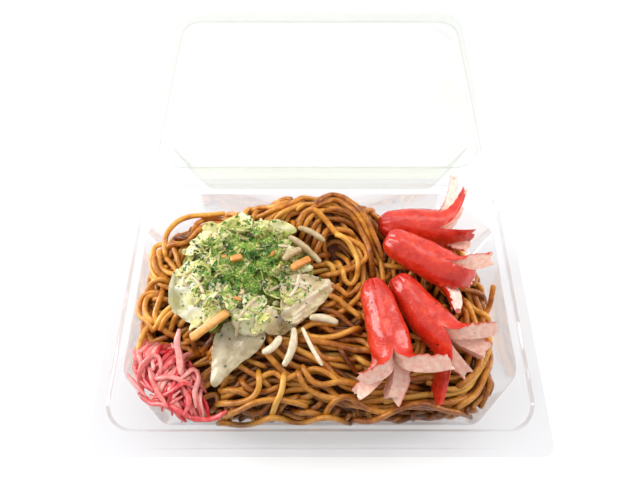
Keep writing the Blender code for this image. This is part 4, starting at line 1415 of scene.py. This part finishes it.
def resting(ground, bed, spot):
    """The height at which a limp leaf lies over the noodles and what is on them."""
    places = [spot]
    for out in (1.7, 3.4):
        for step in range(1, 7):
            turn = TAU * step / 6
            places.append(spot + Vector((math.cos(turn), math.sin(turn))) * out)
    heights = []
    for place in places:
        found = top_of(ground, *place)
        row, column = bed.cells(np.array(place))
        heights.append(max(bed.height[row, column], found[0] if found else 0.0))
    return 0.35 * max(heights) + 0.65 * sum(heights) / len(heights) + 0.7


def make_leaf(name, plan, paints, rest=None):
    """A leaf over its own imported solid, or at the heights where it comes to rest."""
    paint_name, far_corners, near_corners, creases = plan
    rim = closed_curve(far_corners + near_corners, LEAF_SIDES)
    centre = sum(rim, Vector((0, 0))) / LEAF_SIDES
    tree = None if rest else tree_of(name)
    upper = []
    lower = []
    ribs = []

    def lying(spot):
        place = tree.ray_cast(Vector((*spot, SKY)), DOWN)[0]
        return (place or tree.find_nearest(Vector((*spot, 46.0)))[0]).z

    def add(share, step):
        edge = rim[step]
        torn = 0.5 * noise.noise(Vector((*edge / 2.6, 3.0)))
        torn += 0.9 * noise.noise(Vector((*edge / 6.0, 8.0)))
        spot = centre.lerp(edge, share) + (edge - centre).normalized() * torn * share**4
        at = Vector((*spot, centre.x))
        lift = 0.55 * noise.noise(at / 6.0) + 0.18 * noise.noise(at / 2.4)
        rib = 0.0
        for start, end, height, width in creases:
            near = math.exp(-((beside(spot, start, end) / width) ** 2))
            lift += height * near
            rib = max(rib, near)
        turn = TAU * step / LEAF_SIDES
        lift += share**5 * (0.5 * math.sin(5 * turn + centre.x) + 0.25 * math.sin(13 * turn))
        thick = LEAF_THICKNESS
        if name == FOLDED_LEAF:
            lift += 1.6 * math.sqrt(1 - share**2 * 0.98) - 1.9 * share**8 - 0.6
            thick += 1.8 * (1 - share**4)
        upper.append(Vector((*spot, (rest or lying)(spot) + lift)))
        lower.append(upper[-1] - Vector((0, 0, thick)))
        ribs.append(rib)

    for ring in range(LEAF_RINGS):
        for step in range(LEAF_SIDES):
            add((1 - ring / LEAF_RINGS) ** 0.9, step)
    add(0.0, 0)
    faces = shell(LEAF_RINGS, LEAF_SIDES)
    finish = paints[paint_name]
    replaced = () if rest else (name,)
    return piece(f"leaf_{name}", upper + lower, faces, finish, "cabbage", replaced=replaced, rib=ribs * 2)


def strewn(draw, reach, least=0.05):
    """A random place over the mound, up to this far from its centre, as an offset from it."""
    angle = draw.uniform(0, TAU)
    far = reach * math.sqrt(draw.uniform(least, 1))
    return far * math.cos(angle), far * math.sin(angle)


def make_sprouts(ground, draw):
    sprouts = Strands()
    for name, (start, bend, end, radius) in SPROUTS.items():
        tree = tree_of(name)
        path = []
        for spot in parabola(Vector(start), Vector(bend), Vector(end), 26):
            above = tree.ray_cast(Vector((*spot, SKY)), DOWN)[0]
            below = tree.ray_cast(Vector((*spot, 0.0)), UP)[0]
            if above is not None and below is not None:
                path.append(Vector((*spot, (above.z + below.z) / 2)))
        count = len(path) - 1
        radii = []
        for index in range(count + 1):
            swell = 0.62 + 0.38 * math.sqrt(max(math.sin(math.pi * index / count), 0.0))
            radii.append(radius * swell * (1 + 0.18 * noise.noise(path[index] / 3.5)))
        smooth = [(a + b * 2 + c) / 4 for a, b, c in zip(path, path[1:], path[2:])]
        tone = draw.uniform(0.5, 0.8) if end[1] < 0 else 0.2
        sprouts.add([path[0], *smooth, path[-1]], radii, 14, tone, square=0.25, stretch=0.9)
    for _ in range(7):
        x, y = strewn(draw, 29)
        size = (draw.uniform(11, 20), draw.uniform(0.6, 0.9))
        lie_on(sprouts, ground, draw, x, y, *size, 10, 0.2, 1.0)
    finish = strip_paint("bean_sprout_stems", colour(190, 162, 112), colour(244, 232, 202), 0.24)
    sprouts.make("bean_sprout_stems", finish, "bean_sprout", tuple(SPROUTS))


def lie_on(strands, ground, draw, x, y, length, radius, sides, square, stretch, curl=0.05):
    """A short stick dropped beside the mound's centre: it rests on the ground along its length."""
    x, y = MOUND_CENTRE[0] + x, MOUND_CENTRE[1] + y
    heading = draw.uniform(0, TAU)
    curve = draw.uniform(-curl, curl)
    steps = max(int(length / 1.2), 4)
    path = []
    for step in range(steps + 1):
        t = (step / steps - 0.5) * length
        turn = heading + curve * t
        spot = (x + t * math.cos(turn), y + t * math.sin(turn))
        found = top_of(ground, *spot)
        if found is None:
            return
        path.append(Vector((*spot, found[0] + radius * 0.55)))
    for _ in range(6):
        path[1:-1] = [(a + b + c) / 3 for a, b, c in zip(path, path[1:], path[2:])]
    radii = [radius * size for size in (0.75, *[1.0] * (steps - 1), 0.7)]
    tone = unit(draw.gauss(0.5, 0.2))
    strands.add(path, radii, sides, tone, square=square, stretch=stretch)


def make_carrots(ground, draw):
    sticks = Strands()
    for start, end, width, depth in CARROTS.values():
        start, end = Vector(start), Vector(end)
        path = parabola(start, (start + end) / 2 + Vector((0, 0, 0.6)), end, 14)
        radii = [depth / 2 * (1 + 0.07 * noise.noise(point / 2)) for point in path]
        radii[0] *= 0.88
        radii[-1] *= 0.88
        sticks.add(path, radii, 24, draw.uniform(0.35, 0.65), square=0.92, stretch=width / depth)
    for _ in range(4):
        x, y = strewn(draw, 20)
        size = (draw.uniform(2.5, 5), draw.uniform(0.5, 0.8))
        lie_on(sticks, ground, draw, x, y, *size, 12, 0.85, 1.3)
    finish = strip_paint("carrot_sticks", colour(206, 122, 34), colour(244, 182, 92))
    sticks.make("carrot_sticks", finish, "carrot", tuple(CARROTS))


def make_shreds(ground, draw):
    """Fine shreds of cabbage, curled and tangled with the larger bits."""
    shreds = Strands()
    for _ in range(110):
        x, y = strewn(draw, 27, 0)
        radius = draw.uniform(0.22, 0.42)
        size = (draw.uniform(3, 9), radius)
        lie_on(shreds, ground, draw, x + 2, y * 0.9, *size, 6, 0.7, draw.uniform(1.2, 2.6), curl=0.3)
    finish = strip_paint("cabbage_shreds", colour(160, 158, 60), colour(226, 220, 140))
    shreds.make("cabbage_shreds", finish, "mixed_vegetables")


def make_scraps(ground, draw, name, finish, count, reach, sizes, thickness, tilt):
    """Torn bits of cabbage tumbled over the heap, each a small bent sheet."""
    points = []
    faces = []
    ribs = []
    rings, sides = 5, 24
    for number in range(count):
        angle = number * TAU * 0.382 + draw.uniform(-0.3, 0.3)
        far = reach * math.sqrt((number + 0.5) / count)
        x, y = MOUND_CENTRE[0] + far * math.cos(angle), MOUND_CENTRE[1] + far * math.sin(angle)
        found = top_of(ground, x, y)
        if found is None:
            continue
        long = draw.uniform(*sizes)
        wide = long * draw.uniform(0.4, 0.8)
        bend, fold = draw.uniform(-0.08, 0.10), draw.uniform(-0.14, 0.14)
        turn = Matrix.Rotation(draw.uniform(0, TAU), 3, "Z")
        lean = Matrix.Rotation(draw.gauss(0, tilt), 3, "X") @ Matrix.Rotation(draw.gauss(0, tilt), 3, "Y")
        slope = upright_to(found[1]) if found[1].z > 0.3 else Matrix.Identity(3)
        phase = draw.uniform(0, TAU)
        upper = []
        for ring in range(rings + 1):
            share = 1 - ring / rings
            for step in range(sides if ring < rings else 1):
                around = TAU * step / sides
                tear = 1 + 0.16 * math.sin(3 * around + phase) + 0.07 * math.sin(5 * around + 2 * phase)
                u, v = long * share * tear * math.cos(around), wide * share * tear * math.sin(around)
                lift = bend * u * u * 0.5 + fold * v * v * 0.5
                lift += 0.8 * noise.noise(Vector((u / 3.4, v / 3.4, phase * 9)))
                upper.append(slope @ (lean @ (turn @ Vector((u, v, lift)))))
        highest_gap = -1e3
        for point in upper[:sides]:
            under = top_of(ground, x + point.x, y + point.y)
            if under is not None:
                highest_gap = max(highest_gap, under[0] - point.z)
        middle_gap = found[0] - upper[-1].z
        drop = middle_gap * 0.55 + max(min(highest_gap, middle_gap + 3.0), middle_gap - 3.0) * 0.45
        base = Vector((x, y, drop + 0.3))
        under_side = slope @ (lean @ Vector((0, 0, -thickness)))
        start = len(points)
        points.extend(base + point for point in upper)
        points.extend(base + point + under_side for point in upper)
        faces.extend(tuple(start + i for i in face) for face in shell(rings, sides))
        ribs.extend([draw.choice((0.0, 0.2, 0.7))] * (2 * len(upper)))
    return piece(name, points, faces, finish, "cabbage", rib=ribs)


def upright_to(slope):
    """The turn that lays a flat thing on a slope."""
    return slope.rotation_difference(UP).inverted().to_matrix()


def make_flakes(ground, draw):
    """Seaweed flakes strewn over the heap: most near its middle, and in clumps."""
    points = []
    faces = []
    tones = []
    for _ in range(FLAKE_TRIES):
        spread = draw.random() < 0.3
        x = draw.gauss(MOUND_CENTRE[0] + 2.0, 16.0 if spread else 10.5)
        y = draw.gauss(MOUND_CENTRE[1] + 3.0, 14.0 if spread else 9.5)
        clump = noise.noise(Vector((x, y, 1.0)) / 6.0)
        if draw.random() > 0.5 + 1.3 * clump + (0.0 if spread else 0.25):
            continue
        found = top_of(ground, x, y)
        if found is None or found[0] < MOUND_FOOT:
            continue
        long = draw.uniform(0.35, 1.0)
        wide = long * draw.uniform(0.35, 0.9)
        corners = draw.choice((4, 5, 5, 6))
        turn = upright_to(found[1]) @ Matrix.Rotation(draw.gauss(0, 0.5), 3, "X")
        turn = turn @ Matrix.Rotation(draw.uniform(0, TAU), 3, "Z")
        place = Vector((x, y, found[0] + 0.15 + draw.uniform(0, 0.35)))
        sheet = []
        for corner in range(corners):
            angle = TAU * corner / corners + draw.uniform(-0.45, 0.45)
            u = long * draw.uniform(0.55, 1.3) * math.cos(angle)
            v = wide * draw.uniform(0.55, 1.3) * math.sin(angle)
            sheet.append(Vector((u, v, 0.35 * u * u)))
        start = len(points)
        points.extend(place + turn @ point for point in sheet)
        points.extend(place + turn @ (point - UP * FLAKE_THICKNESS) for point in sheet)
        faces.append(tuple(range(start, start + corners)))
        faces.append(tuple(range(start + 2 * corners - 1, start + corners - 1, -1)))
        faces.extend(turned(bridge(start, start + corners, corners)))
        tone = unit(0.55 + 0.8 * noise.noise(Vector((x, y, 7.0)) / 5.0) + draw.gauss(0, 0.22))
        tones.extend([tone] * (2 * corners))
    piece("seaweed_flakes", points, faces, flake_paint(), "mixed_vegetables", sharp=30, tone=tones)


def make_crumbs(ground, draw):
    """Bits of fried batter among the vegetables, each a small rough ball."""
    points = []
    faces = []
    tones = []
    sides = 7
    rows = ((-0.75, 0.6), (0.0, 1.0), (0.75, 0.65))  # height and width of each ring of a ball
    for _ in range(50):
        x = draw.gauss(MOUND_CENTRE[0] + 1.0, 11.0)
        y = draw.gauss(MOUND_CENTRE[1], 11.0)
        found = top_of(ground, x, y)
        if found is None or found[0] < MOUND_FOOT:
            continue
        size = draw.uniform(0.3, 0.7)
        start = len(points)
        place = Vector((x, y, found[0] + size * 0.3))
        for height, width in rows:
            for step in range(sides):
                angle = TAU * step / sides
                far = size * width * draw.uniform(0.7, 1.3)
                points.append(place + Vector((far * math.cos(angle), far * math.sin(angle), height * size)))
        tip = len(points)
        points.append(place + UP * size)
        points.append(place - UP * size)
        faces.extend(stack(start, len(rows), sides))
        faces.extend(turned(fan(tip, tip - sides, sides)))
        faces.extend(fan(tip + 1, start, sides))
        tones.extend([draw.random()] * (tip + 2 - start))
    piece("fried_crumbs", points, faces, crumb_paint(), "mixed_vegetables", tone=tones)


def make_mound_core():
    """The heap's inside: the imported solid, drawn in a little and roughened."""
    shape = bmesh.new()
    shape.from_mesh(mesh_of("vegetable_heap"))
    bmesh.ops.remove_doubles(shape, verts=shape.verts, dist=1e-6)
    bmesh.ops.subdivide_edges(shape, edges=shape.edges, cuts=3, use_grid_fill=True)
    shape.normal_update()
    shape.verts.index_update()
    points = []
    for vertex in shape.verts:
        at = vertex.co / MM
        rough = 0.8 * noise.noise(at / 3.0) + 0.5 * noise.noise(at / 1.5)
        points.append(at + vertex.normal * (rough - 0.9))
    faces = [[vertex.index for vertex in face.verts] for face in shape.faces]
    shape.free()
    greens = ((0.3, colour(88, 94, 22)), (0.5, colour(142, 144, 50)), (0.7, colour(196, 188, 100)))
    finish = mottled_paint("vegetable_core", 0.5, (2.6, 3.0, 0.6), (1.8, 3.0), 1.5, *greens)
    return piece("vegetable_core", points, faces, finish, "mixed_vegetables", replaced=("vegetable_heap",))


def make_vegetables(bed):
    draw = random.Random(5)
    paints = {shade: leaf_paint(f"cabbage_{shade}", *colours) for shade, colours in CABBAGE_SHADES.items()}
    core = make_mound_core()
    leaves = [make_leaf(name, plan, paints) for name, plan in LEAVES.items()]
    ground = tree_of(core, *leaves)
    for name, plan in FURTHER_LEAVES.items():
        leaves.append(make_leaf(name, plan, paints, lambda spot: resting(ground, bed, spot)))
    ground = tree_of(core, *leaves)
    scraps = [
        make_scraps(ground, draw, "cabbage_scraps", paints["green"], 64, 30.0, (3.0, 6.0), 0.45, 0.3),
        make_scraps(ground, draw, "cabbage_stalks", paints["tan"], 22, 27.0, (2.5, 4.5), 1.0, 0.25),
    ]
    ground = tree_of(core, *leaves, *scraps)
    make_sprouts(ground, draw)
    make_carrots(ground, draw)
    make_shreds(ground, draw)
    make_crumbs(ground, draw)
    make_flakes(ground, draw)


# ---- the ginger -----------------------------------------------------------------------------
GINGER_CENTRE = (-69.0, -37.0)
SHRED = 0.8  # half the height that a shred takes in the heap
GINGER_PASS = ((16, 42), 0.02, 0.03, 230, 1, 0.6)
TOP_SHREDS = (  # shreds that show on top, through given places
    ((-58, -22), (-64, -26), (-63, -32), (-62, -38)),
    ((-82, -45), (-83, -37), (-80, -30), (-76, -27), (-73, -30), (-72, -36)),
    ((-85, -42), (-77, -47), (-70, -48), (-63, -51), (-57, -54)),
    ((-76, -38), (-68, -37), (-61, -39), (-56, -42)),
    ((-62, -38), (-58, -33), (-55, -37), (-56, -43), (-55, -50)),
    ((-75, -46), (-67, -44), (-61, -40), (-57, -41)),
    ((-60, -42), (-58, -48), (-60, -53)),
    ((-78, -33), (-74, -41), (-67, -50)),
)
LOOSE_SHREDS = (
    ((-89.3, -34.5, 28.0), (-86.5, -37, 28.2), (-82, -41, 30.5), (-78, -45, 31.5)),
    ((-60, -53.5, 28.5), (-53, -54.5, 27.8), (-47, -54, 28.0), (-41.5, -51, 29.5)),
    ((-65, -16, 37.5), (-65.5, -22, 36.5), (-64, -29, 34.5), (-63, -36, 33.5)),
)


def make_ginger():
    draw = random.Random(23)
    heap = tree_of("ginger_heap")
    surface = surface_of(heap, 25.0)
    rim = polar(heap, GINGER_CENTRE, [25.0])[0]
    bed = bed_over("ginger_heap", 0.0, 0.6, surface, 5.0)
    flow = Flow(bed, sharer(rim, GINGER_CENTRE, 0.0), TOP_SHREDS, 7.0)
    shreds = Strands()

    def add(spots, heights):
        tone = unit(draw.gauss(0.45, 0.3))
        size = SHRED * draw.uniform(0.6, 0.9)
        last = len(spots) - 1
        radii = []
        for i in range(len(spots)):
            taper = min(1.0, 0.45 + 0.2 * min(i, last - i))
            radii.append(size * (1 + 0.08 * math.sin(i * 0.9)) * taper)
        path = np.column_stack([spots, heights])
        shreds.add(path, radii, 8, tone, square=0.85, stretch=draw.uniform(1.5, 2.3))

    for spots, heights in fill(bed, flow, draw, SHRED, *GINGER_PASS):
        add(spots, heights)
    for shred in TOP_SHREDS:
        line = flat_line(shred)
        heights = bed.rest(line, SHRED)
        bed.press(line, heights, SHRED)
        add(line, heights)
    for shred in LOOSE_SHREDS:
        path = np.array([tuple(point) for point in smooth_line(shred, STEP)])
        add(path[:, :2], path[:, 2])
    finish = strip_paint("ginger_shreds", colour(214, 34, 46), colour(252, 170, 160))
    shreds.make("ginger_shreds", finish, "pickled_ginger", ("ginger_heap",))

    reach = rim[::9]
    walls = [(23.4, reach - 4.0), (24.5, reach - 2.6)]
    reds = ((0.3, colour(150, 20, 26)), (0.7, colour(206, 50, 52)))
    finish = mottled_paint("ginger_core", 0.4, (2.5,), (1.8,), 1.0, *reds)
    inwards = (0.9, 0.65, 0.4, 0.15)
    inside = sunk(surface, 4.2, 24.7)
    make_core("ginger_core", finish, "pickled_ginger", GINGER_CENTRE, walls, inwards, inside)


# ---- the camera, the light and the floor ----------------------------------------------------
def make_stage():
    scene = bpy.context.scene
    scene.view_settings.view_transform = "Standard"
    scene.cycles.transparent_max_bounces = 40
    camera = bpy.data.cameras.new("camera")
    camera.lens = 28.125
    camera.sensor_width = 36.0
    eye = bpy.data.objects.new("camera", camera)
    eye.location = (0.0, -0.0815, 0.2626)
    eye.rotation_euler = (math.radians(26.315), 0.0, 0.0)
    scene.collection.objects.link(eye)
    scene.camera = eye

    world = bpy.data.worlds.new("studio")
    world.use_nodes = True
    nodes, links = world.node_tree.nodes, world.node_tree.links
    sky = nodes["Background"]
    sky.inputs["Color"].default_value = (1.0, 1.0, 1.0, 1.0)
    heading = nodes.new("ShaderNodeSeparateXYZ")
    links.new(nodes.new("ShaderNodeTexCoord").outputs["Generated"], heading.inputs[0])
    lit = nodes.new("ShaderNodeMapRange")  # the room is brighter behind the pack
    for socket, value in (("From Min", -1.0), ("From Max", 1.0), ("To Min", 0.32), ("To Max", 1.1)):
        lit.inputs[socket].default_value = value
    links.new(heading.outputs["Y"], lit.inputs["Value"])
    strength = nodes.new("ShaderNodeMapRange")  # and evenly light in what shiny things mirror
    strength.inputs["To Max"].default_value = 0.7
    rays = nodes.new("ShaderNodeLightPath")
    links.new(rays.outputs["Is Glossy Ray"], strength.inputs["Value"])
    links.new(lit.outputs[0], strength.inputs["To Min"])
    links.new(strength.outputs[0], sky.inputs["Strength"])
    scene.world = world

    # name, place, the place it faces, width, height, power
    lamps = (
        ("overhead", (0.0, 0.35, 0.85), (0.0, 0.0, 0.0), 0.5, 0.4, 1.3),
        ("left_window", (-0.65, 0.16, 0.33), (0.0, 0.0, 0.03), 0.25, 0.8, 5.0),
        ("right_window", (0.65, 0.18, 0.33), (0.0, 0.0, 0.03), 0.25, 0.8, 2.8),
    )
    for name, place, aim, width, height, power in lamps:
        light = bpy.data.lights.new(name, "AREA")
        light.shape = "RECTANGLE"
        light.size = width
        light.size_y = height
        light.energy = power
        lamp = bpy.data.objects.new(name, light)
        lamp.location = place
        lamp.rotation_euler = (Vector(aim) - Vector(place)).to_track_quat("-Z", "Y").to_euler()
        scene.collection.objects.link(lamp)

    half = 3.0
    corners = [(-half, -half, 0), (half, -half, 0), (half, half, 0), (-half, half, 0)]
    mesh = bpy.data.meshes.new("floor")
    mesh.from_pydata(corners, [], [(0, 1, 2, 3)])
    paint = Paint("pale_floor", Roughness=0.9, Specular_IOR_Level=0.0, Emission_Strength=0.41)
    greys = ((0.4, colour(200, 200, 200)), (0.6, colour(203, 203, 203)))
    paint.set("Base Color", paint.ramp(paint.noise(120.0), *greys))
    paint.shader.inputs["Emission Color"].default_value = (1.0, 1.0, 1.0, 1.0)
    mesh.materials.append(paint.material)
    floor = bpy.data.objects.new("floor", mesh)
    floor.location.z = cad_box[0][2] - 0.0004
    scene.collection.objects.link(floor)


make_stage()
make_pack()
bed = make_noodles([*SAUSAGES, *LEAVES, *CARROTS, *SPROUTS, "vegetable_heap", "ginger_heap"])
make_sausages()
make_vegetables(bed)
make_ginger()
